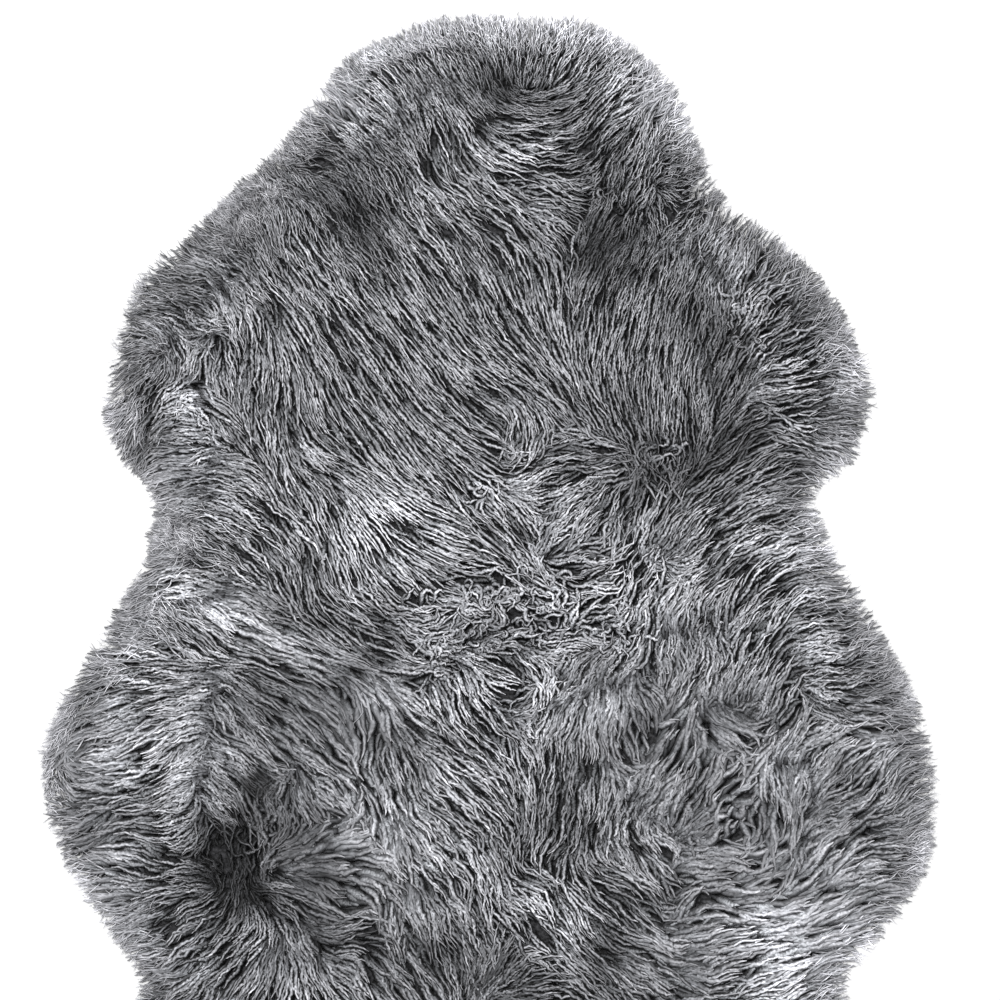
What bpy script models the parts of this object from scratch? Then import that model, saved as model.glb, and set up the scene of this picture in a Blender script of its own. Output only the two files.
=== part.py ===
"""A whole sheepskin rug lying wool side up: the tanned skin and its long wool as one lumpy slab.

Metres, +Z up. +X is the rug's right side and +Y its neck end. The origin is on the floor, under the
middle of the rug. The wool hangs over the skin's edge, and its rim is a row of tapered locks which
lie on the floor and are joined only at their roots.
"""

import math
import random

import bmesh
import bpy
from mathutils import Vector, geometry, kdtree, noise

MM = 0.001

# Driving dimensions.
LOFT = 42 * MM  # height of the wool over most of the rug
EDGE_LOFT = 15 * MM  # height of the wool just inside the rim
EDGE_ROLL = 30 * MM  # how far in from the rim the wool has most of its height
OUTLINE_STEP = 1.5 * MM  # distance between the points worked out along the outline
ROOT_INSET = 10.5 * MM  # from the drawn outline in to the roots of the rim's locks
LOCK_PITCH = 12.5 * MM  # average distance between two rim locks
PITCH_SPREAD = 0.22  # how far a lock's edge strays along the rim, as a share of the pitch
LOCK_LENGTH = (13 * MM, 23 * MM)  # shortest and longest rim lock
HOLLOW_ROOM = 5 * MM  # a bend of the rim this deep inwards halves the locks in it
LOCK_WAIST = 0.62  # width of a lock half way along, as a share of its root
LOCK_BEND = 0.42  # how far along a lock its bend lies
LOCK_HEIGHT = 6.5 * MM  # height of a lock's ridge at the bend
ROOT_HEIGHT = 12 * MM  # height of a lock's ridge where it leaves the slab
ROOT_DEPTH = 5 * MM  # how far inside the roots that ridge starts
LEAN = 24.0  # degrees by which groups of locks lean along the rim
LEAN_GROUPS = 13  # times that the lean swings to and fro round the rim
STRAY_LEAN = 7.0  # degrees by which a single lock leaves its group
ROOT_LEAN = 0.5  # share of the lean before a lock's bend
TIP_LEAN = 1.3  # and after it
GRID = 13.5 * MM  # distance between the points of the wool's surface
GRID_CLEARANCE = 12.5 * MM  # the least distance of such a point from the roots
CLUMP = 46 * MM  # size of the large clumps of wool
TUFT = 21 * MM  # size of the small tufts on them
CLUMP_RISE = 8 * MM  # height of the clumps over the loft
TUFT_RISE = 7 * MM  # height of the tufts
SEED = 11
MERGE = 0.0001 * MM  # points of the outline nearer than this would be one
WOOL_GREY = (0.141, 0.141, 0.150, 1.0)  # a cool mid grey

# The outline at half the length of its locks, clockwise from the middle of the neck.
# place, mm to the right of the middle, mm towards the neck
OUTLINE = (
    ("neck", 24, 458),
    ("neck", 82, 452),
    ("neck", 123, 422),
    ("neck", 150, 380),
    ("right neck root", 177, 320),
    ("right shoulder", 214, 293),
    ("right shoulder", 248, 260),
    ("right shoulder", 271, 220),
    ("right shoulder", 286, 172),
    ("right shoulder", 270, 128),
    ("right flank", 246, 104),
    ("right flank", 247, 77),
    ("right hip", 285, 7),
    ("right hip", 313, -42),
    ("right hip", 332, -112),
    ("right hip", 326, -176),
    ("right hip", 290, -233),
    ("right tail notch", 267, -262),
    ("right tail", 268, -304),
    ("right tail", 231, -370),
    ("right tail", 128, -433),
    ("tail", 6, -458),
    ("left tail", -120, -433),
    ("left tail", -225, -370),
    ("left tail", -264, -304),
    ("left tail notch", -260, -258),
    ("left hip", -300, -200),
    ("left hip", -330, -136),
    ("left hip", -326, -76),
    ("left hip", -284, -2),
    ("left flank", -250, 66),
    ("left flank", -252, 104),
    ("left shoulder", -276, 134),
    ("left shoulder", -284, 178),
    ("left shoulder", -262, 256),
    ("left shoulder", -223, 294),
    ("left neck root", -183, 332),
    ("neck", -124, 398),
    ("neck", -100, 430),
    ("neck", -40, 456),
)

# Broad swells of the wool: place, mm right, mm towards the neck, mm radius, mm rise
SWELLS = (
    ("crown of the neck", 20, 392, 70, 3),
    ("below the crown", 32, 338, 42, 4),
    ("right shoulder", 232, 200, 55, 3),
    ("left shoulder", -225, 205, 60, 3),
    ("middle of the back", -60, 170, 90, 3),
    ("left of the loin", -80, 75, 60, 4),
    ("loin", 70, 40, 46, 3),
    ("left hip", -205, -30, 70, 5),
    ("lower left hip", -250, -130, 48, 3),
    ("middle of the rump", -40, -110, 60, 3),
    ("right of the rump", 130, -60, 55, 4),
    ("right hip", 235, -120, 62, 4),
    ("start of the tail", 20, -255, 80, 3),
    ("tail", -20, -365, 110, 3),
)

# Partings, where the wool falls to both sides and the slab dips:
# place, mm right, mm towards the neck, heading in degrees from +X, mm long, mm wide, mm deep
PARTINGS = (
    ("left of the neck", -103, 310, 20, 60, 26, 9),
    ("left edge of the neck", -128, 352, 60, 34, 18, 6),
    ("crown", 24, 344, 80, 30, 13, 8),
    ("right of the neck", 122, 333, -30, 30, 15, 9),
    ("right root of the neck", 84, 292, -10, 52, 18, 7),
    ("right shoulder", 178, 209, 100, 88, 15, 9),
    ("right shoulder, low", 204, 145, 20, 28, 15, 9),
    ("right of the back", 118, 125, 0, 74, 11, 9),
    ("middle of the back", 9, 115, 25, 46, 11, 8),
    ("right flank", 152, 63, 35, 44, 13, 8),
    ("left flank", -205, 60, -50, 52, 14, 6),
    ("across the loin", -6, -1, -8, 110, 15, 8),
    ("right of the loin", 88, -1, 10, 56, 12, 8),
    ("right of the rump", 118, -68, 70, 36, 13, 8),
    ("left of the rump", -100, -50, 75, 30, 14, 6),
    ("left hip", -163, -106, -5, 40, 12, 8),
    ("left hip, low", -189, -192, -10, 52, 22, 12),
    ("left of the tail", -111, -233, 60, 46, 14, 8),
    ("middle, low", 17, -196, 45, 32, 13, 8),
    ("right of the tail", 186, -237, 0, 58, 12, 8),
    ("across the tail", -40, -318, 15, 70, 14, 7),
    ("tip of the tail", 90, -375, -35, 48, 14, 6),
)

for thing in list(bpy.data.objects):
    bpy.data.objects.remove(thing)


def curve_point(before, start, end, after, share):
    """A point of the smooth curve through start and end, where share runs from 0 to 1."""
    square = share * share
    cube = square * share
    return 0.5 * (
        2 * start
        + (end - before) * share
        + (2 * before - 5 * start + 4 * end - after) * square
        + (3 * start - before - 3 * end + after) * cube
    )


def smooth_outline(rows, step):
    """Points an even step apart on the closed smooth curve through the rows."""
    corners = [Vector((right, up)) * MM for _, right, up in rows]
    count = len(corners)
    fine = []
    for i in range(count):
        four = [corners[(i + k) % count] for k in (-1, 0, 1, 2)]
        fine += [curve_point(*four, k / 40) for k in range(40)]
    lengths = [0.0]
    for i in range(len(fine)):
        lengths.append(lengths[-1] + (fine[(i + 1) % len(fine)] - fine[i]).length)
    wanted = round(lengths[-1] / step)
    points = []
    index = 0
    for k in range(wanted):
        target = lengths[-1] * k / wanted
        while lengths[index + 1] < target:
            index += 1
        share = (target - lengths[index]) / (lengths[index + 1] - lengths[index])
        points.append(fine[index].lerp(fine[(index + 1) % len(fine)], share))
    return points


def outward(points, i, reach=4):
    """The direction that leads out of the clockwise loop at point i."""
    along = points[(i + reach) % len(points)] - points[i - reach]
    return Vector((-along.y, along.x)).normalized()


def hollow(points, i, reach=12):
    """How far the loop bends inwards at point i: 0 where it is straight or bulges."""
    chord = (points[(i + reach) % len(points)] + points[i - reach]) / 2
    return max(0.0, (chord - points[i]).dot(outward(points, i)))


def turned(direction, degrees):
    """The direction turned to the left by some degrees."""
    angle = math.radians(degrees)
    cos, sin = math.cos(angle), math.sin(angle)
    return Vector((direction.x * cos - direction.y * sin, direction.x * sin + direction.y * cos))


def dip(point, row):
    """How deep the parting of this row is at a point."""
    _, right, up, heading, length, width, depth = row
    offset = turned(point - Vector((right, up)) * MM, -heading)
    along = max(0.0, abs(offset.x) - length * MM / 2)
    return depth * MM * math.exp(-2 * (along**2 + offset.y**2) / (width * MM) ** 2)


def swell(point, row):
    """How high the swell of this row is at a point."""
    _, right, up, radius, rise = row
    offset = point - Vector((right, up)) * MM
    return rise * MM * math.exp(-offset.length_squared / (radius * MM) ** 2)


def wool_height(point, inside):
    """The height of the wool at a point that lies this far inside the locks' roots."""
    height = EDGE_LOFT + (LOFT - EDGE_LOFT) * (1 - math.exp(-inside / EDGE_ROLL))
    ripple = CLUMP_RISE * noise.noise(Vector((point.x, point.y, 0)) / CLUMP)
    ripple += TUFT_RISE * noise.noise(Vector((point.x, point.y, LOFT)) / TUFT)
    ripple += sum(swell(point, row) for row in SWELLS)
    ripple -= sum(dip(point, row) for row in PARTINGS)
    return height + ripple * min(1.0, inside / EDGE_ROLL)


outline = smooth_outline(OUTLINE, OUTLINE_STEP)
roots = [outline[i] - outward(outline, i) * ROOT_INSET for i in range(len(outline))]
nearest_root = kdtree.KDTree(len(roots))
for i, root in enumerate(roots):
    nearest_root.insert(root.to_3d(), i)
nearest_root.balance()


def depth_inside(point):
    """The distance from a point to the line of the roots: less than 0 outside it."""
    place, i, distance = nearest_root.find(point.to_3d())
    side = (place.to_2d() - point).dot(outward(roots, i))
    return distance if side > 0 else -distance


# The rim: each lock is a valley point at its root, a side, the tip and the other side. Its ridge
# stands over the middle, so a lock has three sides, the lowest of them flat on the floor.
draw = random.Random(SEED)
rim = []
ridges = []
lock_count = round(len(roots) * OUTLINE_STEP / LOCK_PITCH)
starts = [(i + draw.uniform(-PITCH_SPREAD, PITCH_SPREAD)) / lock_count for i in range(lock_count)]
for i, start in enumerate(starts):
    end = starts[i + 1] if i + 1 < lock_count else starts[0] + 1
    first = round(start * len(roots)) % len(roots)
    last = round(end * len(roots)) % len(roots)
    middle = round((start + end) / 2 * len(roots)) % len(roots)
    out = outward(roots, middle, 8)
    half_root = (roots[last] - roots[first]).length / 2
    length = draw.uniform(*LOCK_LENGTH) / (1 + hollow(roots, middle) / HOLLOW_ROOM)
    lean = LEAN * math.sin(start * math.tau * LEAN_GROUPS)
    lean += draw.uniform(-STRAY_LEAN, STRAY_LEAN)
    bend = roots[middle] + turned(out, lean * ROOT_LEAN) * length * LOCK_BEND
    tip = bend + turned(out, lean * TIP_LEAN) * length * (1 - LOCK_BEND)
    across = turned((tip - roots[middle]).normalized(), -90) * half_root * LOCK_WAIST
    rim += [roots[first], bend - across, tip, bend + across]
    ridges.append((roots[middle] - out * ROOT_DEPTH, ROOT_HEIGHT))
    ridges.append((bend, LOCK_HEIGHT))

# The top of the slab: points in a hexagonal grid, well clear of the roots.
inner = []
row_step = GRID * math.sin(math.radians(60))
reach = max(root.length for root in roots)
for row in range(-int(reach / row_step), int(reach / row_step) + 1):
    for column in range(-int(reach / GRID), int(reach / GRID) + 1):
        point = Vector(((column + 0.5 * (row % 2)) * GRID, row * row_step))
        inside = depth_inside(point)
        if inside > GRID_CLEARANCE:
            inner.append((point, wool_height(point, inside)))

# The skin's flat side is the rim filled in. The wool's side has the same rim, and shares its points.
loop = list(range(len(rim)))[::-1]
flat = rim + [point for point, _ in ridges + inner]
heights = [0.0] * len(rim) + [height for _, height in ridges + inner]
ridge_lines = []
for i in range(lock_count):
    inner_end = len(rim) + 2 * i
    outer_end = inner_end + 1
    tip = 4 * i + 2
    ridge_lines += [(inner_end, outer_end), (outer_end, tip)]
top_points, _, top_faces, *_ = geometry.delaunay_2d_cdt(flat, ridge_lines, [loop], 1, MERGE)
base_points, _, base_faces, *_ = geometry.delaunay_2d_cdt(rim, [], [loop], 1, MERGE)
if len(top_points) != len(flat) or len(base_points) != len(rim):
    raise ValueError("two locks of the rim cross each other")

low = [min(point[axis] for point in flat) for axis in (0, 1)]
high = [max(point[axis] for point in flat) for axis in (0, 1)]
centre = Vector(((low[0] + high[0]) / 2, (low[1] + high[1]) / 2))

body = bmesh.new()
points = [body.verts.new(((p - centre).x, (p - centre).y, z)) for p, z in zip(flat, heights)]
for face in top_faces:
    body.faces.new([points[k] for k in face])
for face in base_faces:
    body.faces.new([points[k] for k in reversed(face)])
bmesh.ops.recalc_face_normals(body, faces=body.faces)
mesh = bpy.data.meshes.new("sheepskin")
body.to_mesh(mesh)
body.free()
mesh.shade_smooth()


def wool_material():
    """Wool dyed a cool mid grey: matt, with the soft sheen of fibre."""
    wool = bpy.data.materials.new("dyed grey sheep's wool")
    wool.use_nodes = True
    shader = wool.node_tree.nodes["Principled BSDF"]
    shader.inputs["Base Color"].default_value = WOOL_GREY
    shader.inputs["Roughness"].default_value = 0.85
    shader.inputs["Metallic"].default_value = 0.0
    wool.diffuse_color = WOOL_GREY
    return wool


sheepskin = bpy.data.objects.new("sheepskin", mesh)
bpy.context.scene.collection.objects.link(sheepskin)
mesh.materials.append(wool_material())
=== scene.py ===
"""A sheepskin rug, dyed a cool grey, lying wool side up on a pale studio floor.

Metres, +Z up. +X is the rug's right side and +Y its neck end, as the photo shows it from straight
above. The skin is a thin tanned hide. The wool on it is a felted dark underwool, covered by long wavy
strands that gather into locks and lie over one another the way the fleece was last combed. Shorter
dark strands close the gaps between them, some locks have curled up, finer wool hangs out all round
the rim, and a few loose fibres lie across the rest.
"""

import math

import bmesh
import bpy
import numpy as np
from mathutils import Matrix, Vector, kdtree
from mathutils.bvhtree import BVHTree


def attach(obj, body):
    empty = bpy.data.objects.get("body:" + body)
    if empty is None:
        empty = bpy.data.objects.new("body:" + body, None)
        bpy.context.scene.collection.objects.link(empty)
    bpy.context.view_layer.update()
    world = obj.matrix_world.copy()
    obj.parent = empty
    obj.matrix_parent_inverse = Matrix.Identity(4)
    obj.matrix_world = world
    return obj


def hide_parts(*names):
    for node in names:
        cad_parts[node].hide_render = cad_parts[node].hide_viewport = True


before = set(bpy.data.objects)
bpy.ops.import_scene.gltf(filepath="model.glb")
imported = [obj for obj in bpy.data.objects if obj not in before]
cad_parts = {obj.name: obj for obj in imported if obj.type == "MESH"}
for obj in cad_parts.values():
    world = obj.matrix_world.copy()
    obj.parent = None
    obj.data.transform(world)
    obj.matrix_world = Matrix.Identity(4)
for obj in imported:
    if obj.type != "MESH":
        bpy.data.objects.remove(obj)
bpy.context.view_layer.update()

# ---------------------------------------------------------------------------------------------------
# Camera. The photo is square and looks straight down, with the neck at the top and the tail end cut
# off by its lower edge. A long lens keeps the rug's own height from leaning outwards.

MM = 0.001
PHOTO_SIDE = 1000  # px
PHOTO_MM = 0.75  # mm of floor for each px
MIDDLE_RIGHT = 487.5  # px from the photo's left edge to the rug's middle
MIDDLE_DOWN = 629.0  # px from the photo's top edge to the rug's middle
CAMERA_HEIGHT = 3.0
FILM_WIDTH = 36.0  # mm


def from_photo(right, down):
    """The place on the floor, in metres, of a point given in px of the photo."""
    scale = PHOTO_MM * MM
    return (right - MIDDLE_RIGHT) * scale, (MIDDLE_DOWN - down) * scale


camera_data = bpy.data.cameras.new("camera")
camera_data.sensor_width = FILM_WIDTH
camera_data.lens = FILM_WIDTH * CAMERA_HEIGHT / (PHOTO_SIDE * PHOTO_MM * MM)
camera = bpy.data.objects.new("camera", camera_data)
camera.location = (*from_photo(PHOTO_SIDE / 2, PHOTO_SIDE / 2), CAMERA_HEIGHT)
bpy.context.scene.collection.objects.link(camera)
bpy.context.scene.camera = camera

# ---------------------------------------------------------------------------------------------------
# Hide. The tanned skin that the wool grows from, 1.6 mm thick, sueded on the flesh side that lies on
# the floor. It is cut in the lobed shape of the whole pelt, and the wool hangs well over its edge.

HIDE_INSET = 24 * MM  # from the wool's rim in to the edge of the skin
HIDE_THICKNESS = 1.6 * MM
HIDE_CLEARANCE = 0.3 * MM  # over the floor, where the skin is not quite flat
HIDE_COLOUR = "#a3978b"
HIDE_SHADE = "#8b8076"
SUEDE_NAP = 1.4 * MM  # width of the brushed patches of the suede
SUEDE_PATCH = 55 * MM  # width of the broad darker and lighter patches
LOOP_STEP = 2 * MM  # between the points of the rim
LOOP_REACH = 6  # points to each side of one, over which the rim's direction is taken
HIDE_STRIDE = 4  # points of the rim for each point of the hide's edge
HIDE_EDGE = 24 * MM  # longest edge of the hide's faces

# The wool's rim at half the length of its hanging locks, clockwise from the middle of the neck:
# mm to the right of the middle, mm towards the neck.
OUTLINE = {
    "right of the neck": ((24, 458), (82, 452), (123, 422), (150, 380), (177, 320)),
    "right shoulder": ((214, 293), (248, 260), (271, 220), (286, 172), (270, 128)),
    "right flank": ((246, 104), (247, 77)),
    "right hip": ((285, 7), (313, -42), (332, -112), (326, -176), (290, -233)),
    "right tail notch": ((267, -262), (268, -304)),
    "tail": ((231, -370), (128, -433), (6, -458), (-120, -433), (-225, -370)),
    "left tail notch": ((-264, -304), (-260, -258)),
    "left hip": ((-300, -200), (-330, -136), (-326, -76), (-284, -2)),
    "left flank": ((-250, 66), (-252, 104)),
    "left shoulder": ((-276, 134), (-284, 178), (-262, 256), (-223, 294)),
    "left of the neck": ((-183, 332), (-124, 398), (-100, 430), (-40, 456)),
}


def linear(colour, alpha=1.0):
    """A hex colour of the screen as the linear colour that a shader takes."""
    parts = [int(colour[i : i + 2], 16) / 255 for i in (1, 3, 5)]
    curved = [p / 12.92 if p <= 0.04045 else ((p + 0.055) / 1.055) ** 2.4 for p in parts]
    return (*curved, alpha)


def in_use(sockets, key):
    """The socket with this number, or the one in use with this name."""
    if isinstance(key, int):
        return sockets[key]
    return next(s for s in sockets if s.name == key and s.enabled and not s.is_unavailable)


def add(tree, kind, inputs=(), **settings):
    """Adds a node with its settings. Inputs are given in order, or each by its name or number, and one
    takes a value, a socket, or a node's first output."""
    node = tree.nodes.new(kind)
    for name, value in settings.items():
        setattr(node, name, value)
    for key, value in inputs.items() if isinstance(inputs, dict) else enumerate(inputs):
        if isinstance(value, bpy.types.Node):
            value = next(s for s in value.outputs if s.enabled and not s.is_unavailable)
        if isinstance(value, bpy.types.NodeSocket):
            tree.links.new(value, in_use(node.inputs, key))
        else:
            in_use(node.inputs, key).default_value = value
    return node


def new_material(name):
    """A material with an empty tree, and that tree."""
    material = bpy.data.materials.new(name)
    material.use_nodes = True
    material.node_tree.nodes.clear()
    return material, material.node_tree


def smooth_loop(corners, step):
    """Points about step apart on the closed curve through the corners."""
    points = []
    for i, b in enumerate(corners):
        a, c, d = corners[i - 1], corners[(i + 1) % len(corners)], corners[(i + 2) % len(corners)]
        count = max(2, round((c - b).length / step))
        for k in range(count):
            t = k / count
            bend = (3 * b - a - 3 * c + d) * t**3 + (2 * a - 5 * b + 4 * c - d) * t**2
            points.append(b + ((c - a) * t + bend) / 2)
    return points


def inset(loop, distance):
    """The clockwise loop moved inwards."""
    moved = []
    for i, point in enumerate(loop):
        along = (loop[(i + LOOP_REACH) % len(loop)] - loop[i - LOOP_REACH]).normalized()
        moved.append(point + Vector((along.y, -along.x)) * distance)
    return moved


def new_object(name, mesh, material=None):
    """An object of this mesh in the scene."""
    made = bpy.data.objects.new(name, mesh)
    bpy.context.scene.collection.objects.link(made)
    if material:
        mesh.materials.clear()
        mesh.materials.append(material)
    return made


rim_loop = smooth_loop([Vector(place) * MM for part in OUTLINE.values() for place in part], LOOP_STEP)
hide_loop = inset(rim_loop, HIDE_INSET)[::HIDE_STRIDE]

hide_form = bmesh.new()
hide_rim = [hide_form.verts.new((p.x, p.y, HIDE_CLEARANCE)) for p in reversed(hide_loop)]
hide_form.faces.new(hide_rim)
bmesh.ops.triangulate(hide_form, faces=hide_form.faces, ngon_method="BEAUTY")
for _ in range(2):
    long_edges = [e for e in hide_form.edges if e.calc_length() > HIDE_EDGE]
    bmesh.ops.subdivide_edges(hide_form, edges=long_edges, cuts=1)
    bmesh.ops.triangulate(hide_form, faces=hide_form.faces)
hide_area = sum(f.calc_area() for f in hide_form.faces)
hide_mesh = bpy.data.meshes.new("hide")
hide_form.to_mesh(hide_mesh)
hide_form.free()

# Sheep suede: chalky and matt, with a short brushed nap.
suede, tree = new_material("Tanned sheep suede")
place = add(tree, "ShaderNodeTexCoord").outputs["Object"]
patches = add(tree, "ShaderNodeTexNoise", {"Vector": place, "Scale": 1 / SUEDE_PATCH, "Detail": 5.0})
nap = add(tree, "ShaderNodeTexNoise", {"Vector": place, "Scale": 1 / SUEDE_NAP, "Detail": 3.0})
tint = {"Factor": patches, "A": linear(HIDE_SHADE), "B": linear(HIDE_COLOUR)}
tint = in_use(add(tree, "ShaderNodeMix", tint, data_type="RGBA").outputs, "Result")
brushed = add(tree, "ShaderNodeMapRange", {"Value": nap, "To Min": 0.82, "To Max": 1.12})
colour = add(tree, "ShaderNodeVectorMath", {0: tint, "Scale": brushed}, operation="SCALE")
relief = add(tree, "ShaderNodeBump", {"Height": nap, "Strength": 0.5, "Distance": 0.4 * MM})
finish = {"Base Color": colour, "Roughness": 0.9, "Sheen Weight": 0.3, "Sheen Roughness": 0.5}
finish = add(tree, "ShaderNodeBsdfPrincipled", finish | {"Normal": relief})
add(tree, "ShaderNodeOutputMaterial", {"Surface": finish})

hide = new_object("hide", hide_mesh, suede)
solidify = hide.modifiers.new("thickness", "SOLIDIFY")
solidify.thickness = HIDE_THICKNESS
solidify.offset = 1.0
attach(hide, "root")

# ---------------------------------------------------------------------------------------------------
# Underwool. The short dense wool next to the skin, felted together. It fills the body of the rug and
# shows only as the darkness between the locks: its near-black colour is partly the wool's own and partly
# painted shade, for the shadow deep between the locks. The lay of all the wool is worked out first, on a
# flat grid over the floor: how high it stands, how far inside the rim it is and which way it is combed.

GRID_STEP = 4 * MM
GRID_ROOM = 36 * MM  # of grid outside the rim
LOWEST_WOOL = 1.6 * MM  # height of the wool where it runs out on the floor
SLAB_TOP = 1.0  # a height well over the slab
COMB_REACH = 9 * MM  # a charted stroke of the comb rules the wool about this far round it
COMB_FALL = 1.6  # how fast a stroke's rule falls off with the square of the distance
RIM_TURN = 16 * MM  # in from the rim, the wool turns outwards over this distance
RIM_TURN_SHARE = 0.55  # how far it turns there
WALK = 36 * MM  # how far a strand runs over the rug

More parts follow.
